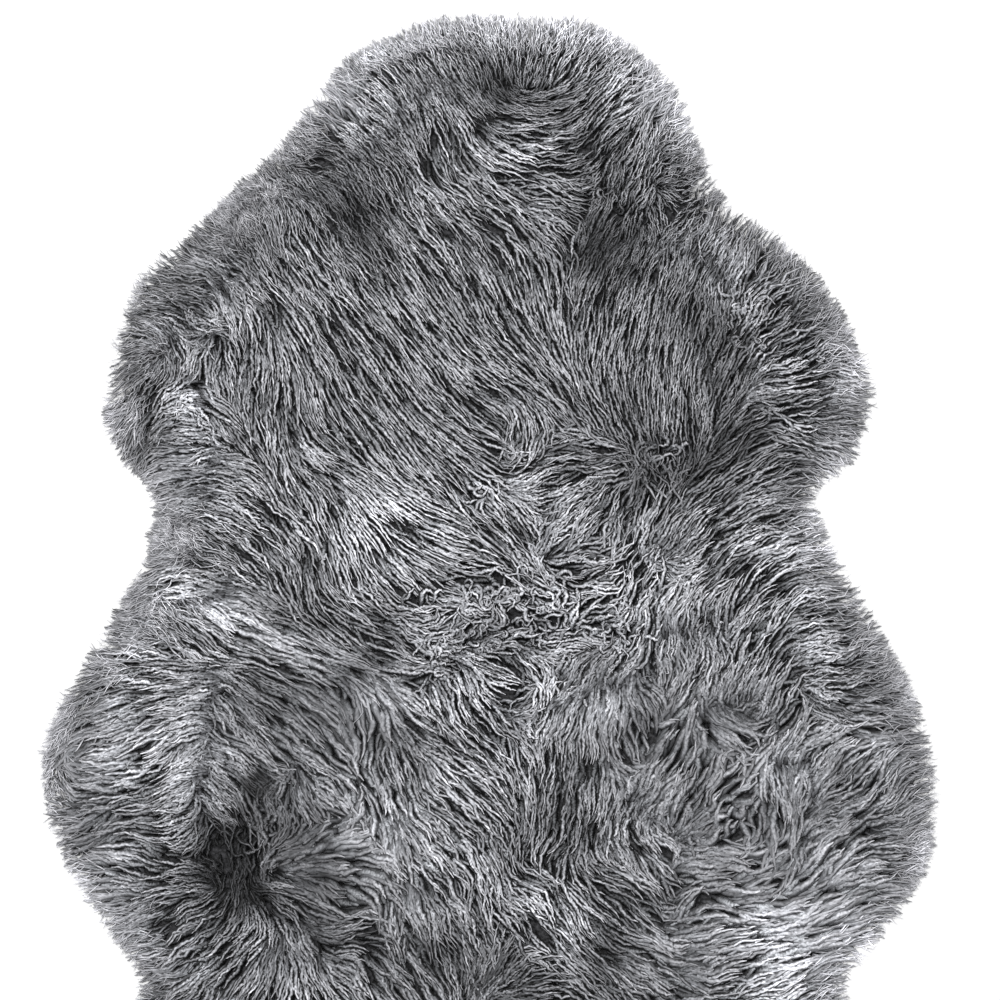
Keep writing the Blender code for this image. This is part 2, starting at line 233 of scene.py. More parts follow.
# The way the wool lies, charted from the photo: px right, px down, degrees anticlockwise from the
# photo's right that the wool points to from its roots.
COMB = {
    "rim of the crown": (
        (430, 40, 118), (380, 70, 135), (335, 95, 140), (300, 130, 150), (470, 60, 120), (490, 60, 105),
        (520, 50, 90), (560, 45, 72), (600, 60, 55), (640, 80, 45), (680, 110, 48), (700, 150, 52),
        (715, 190, 40), (440, 80, 122), (500, 90, 95), (545, 80, 68), (590, 95, 42), (625, 112, 33),
        (660, 120, 38), (380, 110, 140), (350, 110, 140), (330, 130, 140), (310, 145, 150),
        (300, 190, 140), (270, 170, 150), (240, 205, 160), (250, 220, 285),
    ),
    "below the crown": (
        (455, 105, 310), (505, 110, 330), (525, 113, 345), (545, 116, 20), (470, 130, 305),
        (480, 150, 320), (500, 140, 345), (530, 135, 5), (550, 150, 0), (520, 170, 348), (490, 175, 330),
        (530, 200, 0), (560, 200, 345), (500, 200, 335), (470, 190, 325), (450, 150, 285),
        (435, 130, 272), (420, 150, 300), (440, 180, 312), (410, 160, 310), (400, 190, 290),
        (395, 215, 310), (430, 230, 310), (320, 165, 180), (285, 215, 265), (300, 215, 295),
        (320, 220, 300), (520, 220, 300), (550, 230, 310),
    ),
    "right of the crown": (
        (570, 130, 50), (610, 140, 45), (610, 180, 65), (640, 145, 80), (600, 170, 60), (670, 170, 25),
        (690, 175, 15), (670, 200, 325), (690, 215, 45), (680, 230, 45), (700, 230, 80), (720, 215, 65),
        (735, 235, 60), (640, 205, 62), (655, 215, 290), (600, 235, 60),
    ),
    "left shoulder": (
        (220, 230, 150), (190, 250, 150), (170, 270, 165), (185, 285, 180), (150, 305, 182),
        (150, 330, 165), (175, 320, 150), (185, 330, 130), (190, 345, 295), (185, 370, 245),
        (130, 345, 200), (125, 370, 215), (115, 420, 200), (130, 430, 240), (150, 440, 245),
        (145, 460, 250), (175, 400, 225), (195, 395, 180), (212, 405, 300), (210, 330, 15),
        (205, 345, 200), (215, 350, 280), (225, 370, 275), (240, 350, 265), (245, 400, 280),
        (230, 320, 295), (200, 440, 180), (200, 460, 195), (170, 470, 190), (240, 440, 315),
        (240, 460, 330), (230, 480, 355), (180, 500, 185), (165, 520, 180),
    ),
    "left of the back": (
        (280, 270, 310), (310, 280, 308), (340, 290, 305), (370, 330, 310), (300, 330, 298),
        (260, 320, 285), (270, 370, 260), (290, 385, 268), (320, 385, 292), (350, 370, 300),
        (400, 300, 300), (430, 330, 310), (470, 290, 295), (400, 370, 298), (430, 370, 310),
        (470, 350, 320), (450, 400, 310), (330, 430, 318), (350, 430, 308), (370, 440, 300),
        (270, 430, 272), (280, 460, 275), (260, 480, 300), (310, 460, 332), (350, 470, 335),
        (400, 480, 330), (420, 440, 305), (440, 420, 335), (480, 435, 338), (450, 490, 300),
        (490, 410, 330), (485, 380, 325),
    ),
    "right of the back": (
        (510, 270, 290), (540, 290, 274), (520, 330, 310), (550, 340, 302), (520, 370, 325),
        (545, 400, 310), (570, 330, 272), (600, 320, 260), (625, 330, 255), (645, 330, 260),
        (665, 330, 262), (650, 380, 270), (680, 380, 268), (690, 400, 265), (690, 430, 278),
        (620, 430, 295), (600, 400, 290), (580, 420, 310), (510, 420, 260), (530, 430, 250),
        (600, 270, 250), (640, 280, 245), (690, 270, 245), (670, 290, 255), (710, 300, 265),
        (520, 470, 25), (560, 450, 10), (590, 443, 5), (560, 480, 5), (590, 480, 15), (650, 450, 285),
        (660, 470, 315), (690, 480, 40), (720, 460, 33), (740, 480, 42), (720, 440, 60), (725, 390, 72),
        (740, 370, 60),
    ),
    "right shoulder": (
        (730, 250, 60), (760, 250, 55), (790, 255, 50), (745, 270, 60), (770, 285, 45), (790, 270, 48),
        (820, 290, 38), (835, 310, 50), (800, 330, 18), (825, 340, 8), (850, 340, 345), (790, 360, 42),
        (810, 370, 25), (780, 385, 0), (820, 380, 20), (845, 370, 325), (850, 392, 348), (800, 410, 18),
        (770, 405, 350), (830, 415, 8), (855, 425, 355), (770, 425, 0), (800, 440, 332), (825, 450, 327),
        (840, 460, 325), (780, 460, 355), (800, 470, 340), (770, 480, 30), (750, 470, 40), (800, 490, 0),
        (815, 490, 320),
    ),
    "left flank": (
        (175, 500, 190), (165, 540, 170), (185, 530, 340), (200, 545, 310), (215, 540, 300),
        (180, 560, 200), (160, 580, 225), (140, 600, 225), (190, 570, 190), (215, 585, 185),
        (180, 610, 308), (200, 620, 310), (165, 620, 320), (180, 635, 332), (215, 635, 320),
        (230, 620, 340), (250, 610, 338), (280, 615, 330), (300, 630, 335), (270, 640, 340),
        (310, 645, 345), (340, 655, 350), (250, 600, 330), (230, 640, 355), (130, 630, 180),
    ),
    "left hip": (
        (120, 640, 190), (140, 650, 178), (170, 655, 180), (190, 670, 175), (150, 680, 186),
        (110, 690, 200), (170, 695, 192), (200, 690, 205), (150, 720, 205), (120, 720, 190),
        (190, 720, 212), (110, 735, 200), (85, 690, 225), (70, 720, 240), (60, 760, 250), (230, 700, 310),
        (250, 720, 315), (280, 720, 318), (300, 730, 318), (240, 730, 310), (208, 694, 203),
        (195, 715, 212), (232, 705, 305), (245, 708, 302), (228, 722, 325), (242, 732, 325),
        (225, 748, 323), (240, 760, 322), (205, 744, 228), (188, 735, 212), (178, 750, 225),
        (190, 770, 222), (192, 795, 215), (218, 768, 318), (255, 752, 318), (280, 680, 330),
        (300, 700, 320), (260, 670, 340), (290, 665, 350), (330, 700, 310), (345, 720, 300),
        (330, 740, 315), (355, 700, 265), (370, 690, 300), (375, 720, 250), (365, 740, 240),
        (390, 720, 290),
    ),
    "left of the loin": (
        (260, 510, 325), (280, 525, 325), (300, 520, 290), (295, 560, 265), (285, 570, 280),
        (270, 550, 300), (320, 510, 285), (340, 510, 295), (330, 560, 275), (310, 580, 280),
        (330, 590, 0), (355, 520, 300), (360, 560, 290), (380, 510, 315), (390, 560, 310),
        (380, 590, 305), (420, 510, 335), (430, 540, 348), (420, 560, 335), (450, 520, 335),
        (460, 550, 352), (440, 580, 340), (470, 580, 348), (480, 520, 310), (490, 540, 310),
        (410, 590, 320), (400, 540, 330), (495, 580, 335), (300, 610, 310), (320, 635, 325),
        (360, 640, 330), (340, 610, 320), (380, 610, 0), (420, 610, 10), (450, 620, 20), (400, 640, 315),
        (480, 620, 30), (380, 655, 342), (400, 670, 345), (420, 675, 20), (430, 690, 275),
        (440, 700, 290), (455, 700, 285), (480, 710, 310), (490, 720, 305), (410, 710, 340),
        (440, 735, 335), (470, 735, 330),
    ),
    "right of the loin": (
        (520, 520, 310), (510, 540, 310), (505, 570, 325), (530, 570, 320), (550, 580, 335),
        (560, 590, 345), (570, 565, 5), (590, 560, 10), (540, 545, 260), (555, 520, 45), (580, 520, 48),
        (560, 540, 40), (590, 540, 50), (610, 530, 275), (610, 560, 60), (630, 580, 50), (600, 590, 25),
        (640, 540, 75), (650, 520, 70), (670, 520, 55), (690, 530, 45), (700, 520, 35), (730, 520, 20),
        (740, 540, 15), (720, 560, 35), (710, 580, 50), (660, 575, 325), (680, 590, 30), (620, 600, 80),
        (560, 620, 35), (600, 612, 15), (560, 635, 10), (530, 640, 15), (585, 640, 315), (610, 640, 300),
        (520, 660, 310), (530, 670, 300), (510, 690, 10), (520, 705, 35), (545, 680, 250), (560, 690, 40),
        (580, 680, 45), (600, 650, 30), (620, 660, 40), (640, 620, 65), (650, 600, 70), (660, 640, 275),
        (680, 640, 280), (670, 620, 60), (700, 620, 50), (710, 640, 300), (730, 600, 55), (740, 620, 50),
        (700, 660, 60), (720, 670, 55), (680, 680, 50), (740, 660, 60),
    ),
    "right of the rump": (
        (590, 700, 265), (610, 720, 295), (625, 730, 290), (640, 690, 310), (575, 705, 240),
        (585, 715, 280), (560, 720, 250), (520, 730, 295), (540, 740, 270), (550, 740, 260),
        (660, 720, 60), (680, 710, 60), (710, 720, 320), (730, 730, 320), (510, 770, 295),
        (535, 770, 272), (560, 770, 260), (575, 780, 255), (590, 800, 275), (605, 770, 270),
        (530, 820, 260), (510, 830, 280), (540, 830, 250), (560, 840, 225), (560, 870, 305),
        (570, 880, 310), (600, 870, 330), (620, 870, 320), (630, 880, 310), (580, 900, 312),
        (610, 900, 320), (550, 890, 285), (560, 920, 310), (590, 920, 315), (540, 930, 295),
        (550, 950, 320), (580, 950, 325), (590, 970, 310), (640, 910, 315), (650, 930, 315),
        (620, 930, 0), (520, 870, 340), (510, 910, 305), (520, 900, 330), (510, 960, 30), (530, 970, 12),
        (570, 985, 355), (620, 760, 350), (660, 780, 50), (650, 790, 50), (680, 770, 65), (610, 820, 60),
        (630, 830, 320), (650, 840, 315), (625, 810, 260), (640, 870, 300), (690, 800, 55),
        (730, 790, 30), (680, 850, 25), (700, 850, 0), (730, 860, 348), (700, 880, 340), (740, 880, 30),
        (665, 850, 280), (670, 910, 45), (690, 900, 50), (710, 900, 310), (740, 900, 355),
        (740, 920, 355), (730, 930, 30), (710, 940, 25), (670, 930, 20), (740, 970, 25), (650, 980, 320),
        (670, 970, 350),
    ),
    "right hip": (
        (760, 510, 5), (780, 520, 12), (800, 530, 5), (770, 550, 10), (800, 550, 5), (770, 570, 35),
        (800, 585, 355), (820, 590, 348), (840, 590, 10), (770, 590, 45), (780, 600, 25), (820, 615, 345),
        (850, 610, 10), (770, 620, 50), (790, 630, 15), (810, 635, 350), (840, 640, 15), (870, 630, 35),
        (770, 640, 55), (820, 660, 8), (860, 650, 25), (880, 660, 30), (760, 670, 60), (800, 680, 10),
        (840, 680, 8), (890, 680, 25), (810, 700, 300), (830, 705, 5), (860, 705, 5), (880, 700, 345),
        (900, 710, 340), (850, 720, 355), (765, 700, 60), (780, 720, 65), (760, 740, 50), (800, 740, 30),
        (775, 780, 290), (790, 780, 255), (770, 810, 275), (780, 830, 280), (760, 820, 265),
        (765, 855, 30), (760, 880, 15), (790, 880, 50), (785, 850, 260), (780, 895, 10), (760, 905, 355),
        (770, 945, 0), (790, 960, 15), (780, 980, 25), (820, 980, 15), (820, 950, 10), (830, 930, 0),
        (820, 910, 30), (840, 905, 25), (800, 915, 35), (815, 870, 60), (840, 850, 50), (850, 835, 0),
        (870, 840, 350), (870, 860, 0), (880, 880, 350), (850, 880, 10), (860, 890, 355), (820, 830, 20),
        (840, 820, 25), (830, 780, 35), (850, 770, 60), (880, 785, 70), (900, 760, 0), (910, 800, 20),
        (905, 820, 30),
    ),
    "left of the rump": (
        (208, 830, 235), (228, 835, 290), (250, 830, 250), (218, 855, 300), (238, 860, 250),
        (258, 855, 275), (278, 845, 240), (232, 876, 275), (250, 876, 262), (215, 872, 300),
        (214, 892, 195), (262, 889, 345), (240, 906, 255), (224, 900, 220), (260, 900, 315),
        (272, 880, 350), (205, 872, 185), (210, 930, 225), (250, 930, 240), (275, 905, 310),
        (80, 780, 130), (120, 760, 175), (110, 790, 180), (150, 770, 190), (140, 790, 195),
        (120, 800, 210), (150, 800, 175), (170, 760, 215), (160, 790, 200), (185, 785, 225),
        (205, 792, 308), (225, 800, 322), (243, 803, 290), (258, 806, 292), (170, 820, 175),
        (160, 840, 172), (130, 830, 200), (120, 815, 225), (140, 860, 165), (150, 880, 150),
        (130, 880, 185), (170, 850, 150), (180, 870, 190), (200, 880, 185), (160, 900, 220),
        (190, 905, 225), (190, 930, 215), (215, 940, 205), (210, 960, 225), (225, 980, 235),
        (230, 930, 200), (220, 905, 185), (150, 960, 195), (170, 960, 190), (280, 775, 205),
        (290, 780, 260), (300, 790, 290), (320, 790, 310), (305, 830, 200), (330, 825, 215),
        (340, 830, 20), (320, 770, 325), (330, 755, 320), (370, 770, 300), (380, 800, 270),
        (390, 830, 268), (300, 860, 10), (330, 860, 350), (370, 860, 0), (290, 880, 320), (310, 885, 315),
        (280, 890, 330), (330, 915, 0), (360, 925, 15), (385, 900, 272), (395, 880, 280), (410, 865, 325),
        (420, 880, 285), (410, 770, 272), (430, 800, 325), (420, 830, 320), (430, 860, 320),
        (440, 880, 300), (450, 780, 325), (490, 780, 325), (470, 800, 315), (490, 820, 290),
        (470, 850, 300), (480, 880, 260), (450, 900, 295), (430, 920, 285), (470, 910, 300),
        (260, 920, 230), (270, 940, 240), (280, 960, 250), (290, 980, 265), (300, 940, 295),
        (310, 960, 310), (350, 980, 320), (340, 950, 20), (360, 960, 300), (380, 980, 310),
        (420, 960, 305), (425, 975, 300), (400, 970, 310), (450, 980, 280), (490, 960, 60),
    ),
    "tail": (
        (200, 1010, 215), (170, 1050, 210), (215, 1070, 225), (260, 1030, 245), (310, 1020, 285),
        (360, 1030, 300), (300, 1090, 250), (250, 1120, 235), (420, 1020, 290), (400, 1080, 275),
        (350, 1150, 255), (480, 1030, 300), (500, 1090, 280), (450, 1160, 265), (550, 1030, 325),
        (590, 1070, 310), (560, 1150, 285), (640, 1020, 330), (690, 1010, 350), (680, 1090, 320),
        (650, 1150, 300), (740, 1040, 345), (770, 1010, 10), (810, 1030, 355), (760, 1110, 320),
        (490, 1210, 270), (400, 1200, 260), (590, 1200, 280), (830, 1080, 340),
    ),
}
# Where the wool is coloured lighter or darker, charted from the photo: px right, px down, px radius, and
# the share by which the wool is lighter, or darker where it is below nought. Part of it is the dye and part
# is painted light and shade, such as the shadow in a hollow of the left hip and the light on the wool at
# the right hip's lower edge.
DYE_AND_SHADING = {
    "crown": (
        (352, 104, 36, 1.0), (300, 130, 20, 0.3), (645, 90, 36, 1.5), (685, 128, 24, 1.3),
        (430, 35, 28, 0.8), (560, 38, 34, 1.3), (495, 28, 30, 1.4), (610, 39, 20, 1.4),
        (376, 46, 22, 1.1), (500, 98, 60, -0.45), (507, 94, 26, -0.35), (412, 134, 18, -0.45),
        (381, 155, 18, -0.45), (460, 150, 40, 0.05), (515, 150, 34, 0.35), (545, 160, 22, 0.4),
        (568, 102, 18, -0.35), (345, 215, 38, -0.7), (378, 250, 28, -0.5), (335, 165, 45, -0.4),
        (600, 158, 45, -0.5), (620, 238, 50, -0.6), (590, 272, 32, -0.5), (589, 227, 20, -0.2),
        (415, 230, 42, 0.05), (681, 283, 22, -0.4), (233, 230, 22, -0.4), (477, 258, 24, -0.35),
        (419, 97, 18, -0.3), (324, 240, 22, 0.5), (347, 188, 18, 0.3),
    ),
    "shoulders": (
        (730, 340, 42, -0.65), (782, 320, 26, -0.25), (745, 437, 42, -0.65), (700, 470, 32, -0.6),
        (645, 480, 34, -0.6), (620, 420, 55, -0.35), (667, 321, 24, -0.35), (711, 388, 20, -0.4),
        (190, 295, 26, -0.6), (245, 280, 22, -0.4), (267, 243, 20, -0.45), (269, 363, 20, -0.35),
        (145, 385, 22, -0.3), (197, 410, 18, 0.8), (198, 450, 18, 0.5), (168, 435, 18, -0.55),
        (237, 454, 20, -0.45), (236, 416, 20, -0.3), (120, 410, 22, 0.5), (845, 375, 26, 1.2),
        (842, 450, 20, 0.6), (752, 320, 16, 0.4), (821, 352, 18, 0.6), (831, 471, 16, 0.7),
        (817, 468, 18, 0.6),
    ),
    "loin": (
        (405, 530, 50, 0.9), (330, 520, 40, 0.2), (290, 610, 38, -0.5), (330, 625, 20, -0.4),
        (390, 637, 34, -0.25), (500, 625, 32, -0.4), (600, 677, 30, -0.4), (690, 540, 28, -0.35),
        (545, 560, 38, 0.15), (600, 705, 20, 0.85), (800, 550, 36, 1.1), (812, 525, 18, 0.5),
        (170, 588, 26, 0.7), (395, 538, 20, 0.85), (640, 561, 22, 0.6), (718, 525, 20, 0.5),
        (516, 675, 20, 0.4),
    ),
    # Painted shadow: the darkest patches, round (237, 870) and (238, 887), stand for the shadow in a hollow.
    "left hip": (
        (222, 612, 18, 0.7), (252, 628, 20, 0.7), (290, 643, 20, 1.15), (318, 655, 18, 0.7),
        (135, 660, 28, 1.0), (128, 710, 22, 1.0), (153, 494, 18, 0.6), (129, 754, 22, 0.5),
        (70, 740, 32, 0.5), (160, 750, 38, 0.5), (143, 788, 16, 0.3), (204, 808, 16, -0.35),
        (172, 795, 18, -0.25), (265, 775, 14, -0.6), (248, 781, 10, -0.4), (248, 814, 24, -0.4),
        (285, 802, 20, -0.25), (260, 700, 45, -0.35), (310, 722, 38, -0.1), (270, 770, 30, -0.3),
        (100, 790, 26, -0.2), (62, 800, 22, 0.6), (98, 900, 28, 0.5), (125, 925, 22, 0.6),
        (108, 871, 20, 0.6), (80, 885, 28, 0.85), (149, 948, 20, 1.1), (211, 948, 22, 0.6),
        (166, 919, 20, 0.4), (237, 870, 42, -0.9), (218, 842, 28, -0.55), (300, 830, 28, -0.7),
        (325, 872, 18, -0.65), (262, 790, 20, -0.3), (280, 749, 20, 0.3), (266, 894, 16, -0.4),
        (185, 920, 36, -0.2), (225, 921, 18, -0.35), (238, 887, 14, -1.2), (285, 905, 18, -0.45),
    ),
    "rump": (
        (362, 670, 14, -0.6), (374, 702, 14, 0.5), (348, 702, 12, -0.4), (388, 732, 12, -0.3),
        (370, 690, 30, 0.15), (430, 700, 26, 0.2), (420, 745, 26, -0.4), (380, 810, 36, 0.5),
        (430, 840, 40, 0.5), (450, 770, 28, 0.3), (560, 810, 40, -0.45), (530, 850, 30, -0.05),
        (330, 930, 36, -0.65), (440, 950, 48, -0.45), (520, 962, 38, -0.55), (606, 950, 26, -0.65),
        (555, 910, 28, 0.4), (620, 905, 22, -0.4), (690, 925, 34, 0.25), (640, 725, 34, -0.3),
        (547, 941, 20, 0.5), (583, 738, 20, -0.3), (467, 832, 20, 0.4), (614, 999, 20, -0.4),
        (530, 999, 22, -0.4), (731, 795, 20, 0.5),
    ),
    # Painted light: the lightest patches, round (760, 920), (795, 962) and (855, 930), stand for light on
    # the wool.
    "right hip": (
        (740, 710, 26, -0.5), (700, 810, 36, -0.35), (800, 690, 36, -0.25), (880, 825, 28, -0.15),
        (820, 815, 26, -0.35), (788, 800, 20, -0.35), (835, 754, 20, -0.45), (782, 999, 22, -0.35),
        (916, 809, 20, 0.6), (912, 703, 18, 0.5), (830, 640, 55, 0.35), (905, 850, 24, 0.4),
        (780, 770, 28, 0.4), (872, 740, 30, 0.9), (906, 768, 18, 0.6), (925, 854, 16, 0.6),
        (888, 879, 20, 0.6), (830, 870, 40, 0.8), (760, 920, 32, 2.0), (795, 962, 42, 1.8),
        (855, 930, 32, 1.6), (827, 971, 18, 0.5),
    ),
    "tail": (
        (250, 1060, 50, -0.25), (400, 1100, 45, 0.2), (560, 1080, 50, -0.25), (660, 1140, 45, 0.2),
        (480, 1180, 45, -0.2),
    ),
}
# Where the staple is shorter, finer and firmer, charted in the same way, or coarser and softer where it
# is below nought.
STAPLE = {
    "crown": (
        (645, 235, 60, 0.85), (590, 150, 42, 0.6), (675, 165, 40, 0.4), (345, 205, 50, 0.7),
        (300, 160, 40, 0.4), (485, 60, 60, 0.7), (395, 75, 50, 0.6), (600, 65, 50, 0.6),
        (380, 140, 30, 0.4), (515, 95, 32, 0.5), (352, 108, 30, -0.8), (650, 105, 30, -0.6),
    ),
    "shoulders": ((160, 330, 55, 0.25), (650, 330, 60, 0.3), (670, 410, 45, 0.25), (790, 370, 50, 0.2)),
    "hips": (
        (225, 612, 20, -0.6), (265, 632, 22, -0.6), (305, 650, 22, -0.6), (90, 740, 60, -0.5),
        (170, 740, 50, -0.2), (80, 860, 60, -0.8), (300, 720, 60, -0.6), (860, 760, 70, -0.5),
        (820, 910, 80, -0.8),
    ),
    "rump": (
        (232, 850, 40, 0.9), (300, 800, 30, 0.5), (265, 905, 20, 0.3), (370, 710, 50, -0.8),
        (290, 830, 60, -0.6), (350, 860, 60, -0.7), (420, 800, 60, -0.3), (640, 730, 60, -0.7),
        (720, 740, 60, -0.6), (700, 860, 70, -0.5), (760, 830, 60, -0.4), (400, 960, 70, -0.3),
        (680, 960, 60, -0.5), (150, 960, 60, -0.2),
    ),
}
STAPLE_RANGE = (-1.0, 0.85)
SHORTENING = 0.75  # the share of their length that strands lose where the staple reads 1
THINNING = 0.5  # the share of their width that they lose there
# Where the locks curl, charted in the same way: past a half, curled locks grow there too.
CURLS = {
    "below the crown": (
        (500, 150, 45, 0.3), (540, 190, 40, 0.3), (606, 212, 24, 0.9), (668, 238, 18, 0.8),
        (650, 188, 20, 0.7), (748, 312, 24, 1.2), (740, 350, 24, 0.8),
    ),
    "back": ((478, 485, 22, 1.1), (650, 455, 32, 1.0), (560, 450, 40, 0.5), (765, 432, 20, 0.9)),
    "loin": (
        (415, 605, 38, 0.8), (480, 612, 38, 1.1), (545, 622, 36, 1.1), (600, 620, 32, 1.0),
        (450, 655, 34, 0.9), (560, 560, 34, 0.5), (500, 560, 34, 0.5), (640, 640, 30, 0.5),
    ),
    "rump": (
        (690, 830, 50, 0.6), (740, 800, 45, 0.5), (270, 800, 34, 0.7), (235, 845, 34, 0.8),
        (640, 700, 34, 0.4), (370, 700, 34, 0.5), (300, 870, 40, 0.4), (480, 880, 50, 0.4),
    ),
}
# Where the wool has been combed smooth and its locks differ less, charted in the same way.
CALM = {
    "back": (
        (320, 330, 90, 0.5), (430, 320, 110, 0.7), (560, 330, 90, 0.6), (655, 345, 65, 0.7),
        (380, 430, 80, 0.6), (330, 500, 60, 0.3), (410, 535, 60, 0.7), (470, 530, 50, 0.3),
    ),
    "crown": ((480, 60, 60, 0.5), (345, 90, 60, 0.7), (640, 80, 60, 0.7)),
    "hips": (
        (60, 740, 50, 1.0), (85, 860, 50, 1.0), (135, 940, 40, 0.8), (120, 680, 40, 0.6),
        (915, 760, 50, 1.0), (900, 870, 50, 1.0), (880, 680, 40, 0.8), (790, 930, 50, 0.6),
        (265, 630, 40, 0.8), (310, 652, 30, 0.7),
    ),
}
SOFT_RIM = 36 * MM  # in from the rim, the wool is softer over this distance
PARTING_REACH = 12 * MM  # the longer, the gentler a parting may be that counts as one
CURLY_COAT, CURLY_UNDER = 0.3, 0.85  # how much sparser the long and the under coat are in the curls


def charted(chart):
    """The chart's patches, each fading out from its middle, added up on the grid."""
    field = np.zeros(grid_x.shape)
    for patches in chart.values():
        for right, down, radius, amount in patches:
            x, y = from_photo(right, down)
            apart = np.hypot(grid_x - x, grid_y - y) / (radius * PHOTO_MM * MM)
            field += amount * np.exp(-(apart**2))
    return field


def averaged(field, times):
    """The field with each value blended with its neighbours'."""
    for _ in range(times):
        spread = np.pad(field, 1, mode="edge")
        field = (
            4 * field + spread[:-2, 1:-1] + spread[2:, 1:-1] + spread[1:-1, :-2] + spread[1:-1, 2:]
        ) / 8
    return field


half_sides = [max(abs(p[i]) for p in rim_loop) + GRID_ROOM for i in (0, 1)]
across, along = (np.arange(-half, half + GRID_STEP, GRID_STEP) for half in half_sides)
grid_x, grid_y = np.meshgrid(across, along)

rim_tree = kdtree.KDTree(len(rim_loop))
for number, point in enumerate(rim_loop):
    rim_tree.insert((point.x, point.y, 0), number)
rim_tree.balance()
to_rim = np.array([rim_tree.find((x, y, 0))[2] for x, y in zip(grid_x.flat, grid_y.flat)])
inside = np.zeros(grid_x.shape, bool)
for a, b in zip(rim_loop, rim_loop[1:] + rim_loop[:1]):
    if a.y != b.y:
        crosses = (a.y > grid_y) != (b.y > grid_y)
        inside ^= crosses & (grid_x < a.x + (grid_y - a.y) * (b.x - a.x) / (b.y - a.y))
depth_in = np.where(inside, 1, -1) * to_rim.reshape(grid_x.shape)

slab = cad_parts["sheepskin"].data
slab_tree = BVHTree.FromPolygons([v.co for v in slab.vertices], [p.vertices for p in slab.polygons])
height = np.full(grid_x.shape, LOWEST_WOOL)
for row, column in np.argwhere(inside):
    above = (grid_x[row, column], grid_y[row, column], SLAB_TOP)
    hit = slab_tree.ray_cast(above, (0, 0, -1))[0]
    if hit:
        height[row, column] = max(hit.z, LOWEST_WOOL)
height = averaged(height, 3)

# A stroke and its opposite agree on the line the wool lies along, so the lines are blended as angles
# doubled, and the strokes as they are only settle which way along its line the wool points.
heading_x, heading_y, line_x, line_y, comb_weight = (np.zeros(grid_x.shape) for _ in range(5))
for strokes in COMB.values():
    for right, down, heading in strokes:
        x, y = from_photo(right, down)
        weight = ((grid_x - x) ** 2 + (grid_y - y) ** 2 + COMB_REACH**2) ** -COMB_FALL
        heading_x += weight * math.cos(math.radians(heading))
        heading_y += weight * math.sin(math.radians(heading))
        line_x += weight * math.cos(math.radians(2 * heading))
        line_y += weight * math.sin(math.radians(2 * heading))
        comb_weight += weight
order = averaged(np.hypot(line_x, line_y) / comb_weight, 2)
line = np.arctan2(line_y, line_x) / 2
pointing = np.where(np.cos(line) * heading_x + np.sin(line) * heading_y < 0, -1, 1)
comb_x, comb_y = np.cos(line) * pointing, np.sin(line) * pointing
out_y, out_x = np.gradient(-averaged(depth_in, 4))
out_size = np.hypot(out_x, out_y) + 1e-9
turn_out = np.clip(1 - depth_in / RIM_TURN, 0, 1) * RIM_TURN_SHARE
comb_x = comb_x * (1 - turn_out) + out_x / out_size * turn_out
comb_y = comb_y * (1 - turn_out) + out_y / out_size * turn_out
comb_size = np.hypot(comb_x, comb_y) + 1e-9
comb_x, comb_y = comb_x / comb_size, comb_y / comb_size

# Where the wool parts, more strands grow, and where it runs together, fewer, so that it covers the skin
# evenly: the strands of each square are walked over the grid, and the squares they miss get more.
SOWING_ROUNDS = 6
SOWING_STEPS = 9
SOWING_RANGE = (0.35, 6.0)  # times the mean
SOWING_CHANGE = (0.5, 1.8)  # the least and the most that a round asks for
SOWING_EASE = 0.7  # how far a round goes along with that

staple = np.clip(charted(STAPLE), *STAPLE_RANGE)
shorter = np.maximum(staple, 0)
soft = np.clip(np.clip(1 - depth_in / SOFT_RIM, 0, 1) - staple, 0, 1)
cover = (1 - SHORTENING * shorter) * (1 - THINNING * staple)
stride = WALK / SOWING_STEPS * (1 - SHORTENING * shorter)
sown = np.where(depth_in > 0, 1 / cover, 0.0)
for _ in range(SOWING_ROUNDS):
    reached = np.zeros(grid_x.shape)
    walk_x, walk_y = grid_x.copy(), grid_y.copy()
    heading_x, heading_y = comb_x, comb_y
    for step in range(SOWING_STEPS):
        column = np.clip(np.rint((walk_x - across[0]) / GRID_STEP).astype(int), 0, len(across) - 1)
        row = np.clip(np.rint((walk_y - along[0]) / GRID_STEP).astype(int), 0, len(along) - 1)
        onward = comb_x[row, column] * heading_x + comb_y[row, column] * heading_y
        onward = np.where(onward < 0, -1, 1)
        heading_x, heading_y = comb_x[row, column] * onward, comb_y[row, column] * onward
        walk_x = walk_x + heading_x * stride
        walk_y = walk_y + heading_y * stride
        if step > SOWING_STEPS // 4:
            np.add.at(reached, (row, column), sown * cover)
    reached = averaged(reached, 4)
    wanted = np.median(reached[depth_in > 2 * RIM_TURN])
    sown *= np.clip(wanted / (reached + 0.05 * wanted), *SOWING_CHANGE) ** SOWING_EASE
    sown = np.clip(averaged(sown, 1), *SOWING_RANGE) * (depth_in > 0)
    sown /= np.mean(sown[depth_in > 0])

parting = np.gradient(comb_x, axis=1) + np.gradient(comb_y, axis=0)
parting = np.clip(averaged(parting, 2) / GRID_STEP * PARTING_REACH, 0, 1) * (depth_in > RIM_TURN)
curly = np.clip(charted(CURLS), 0, 1.5)

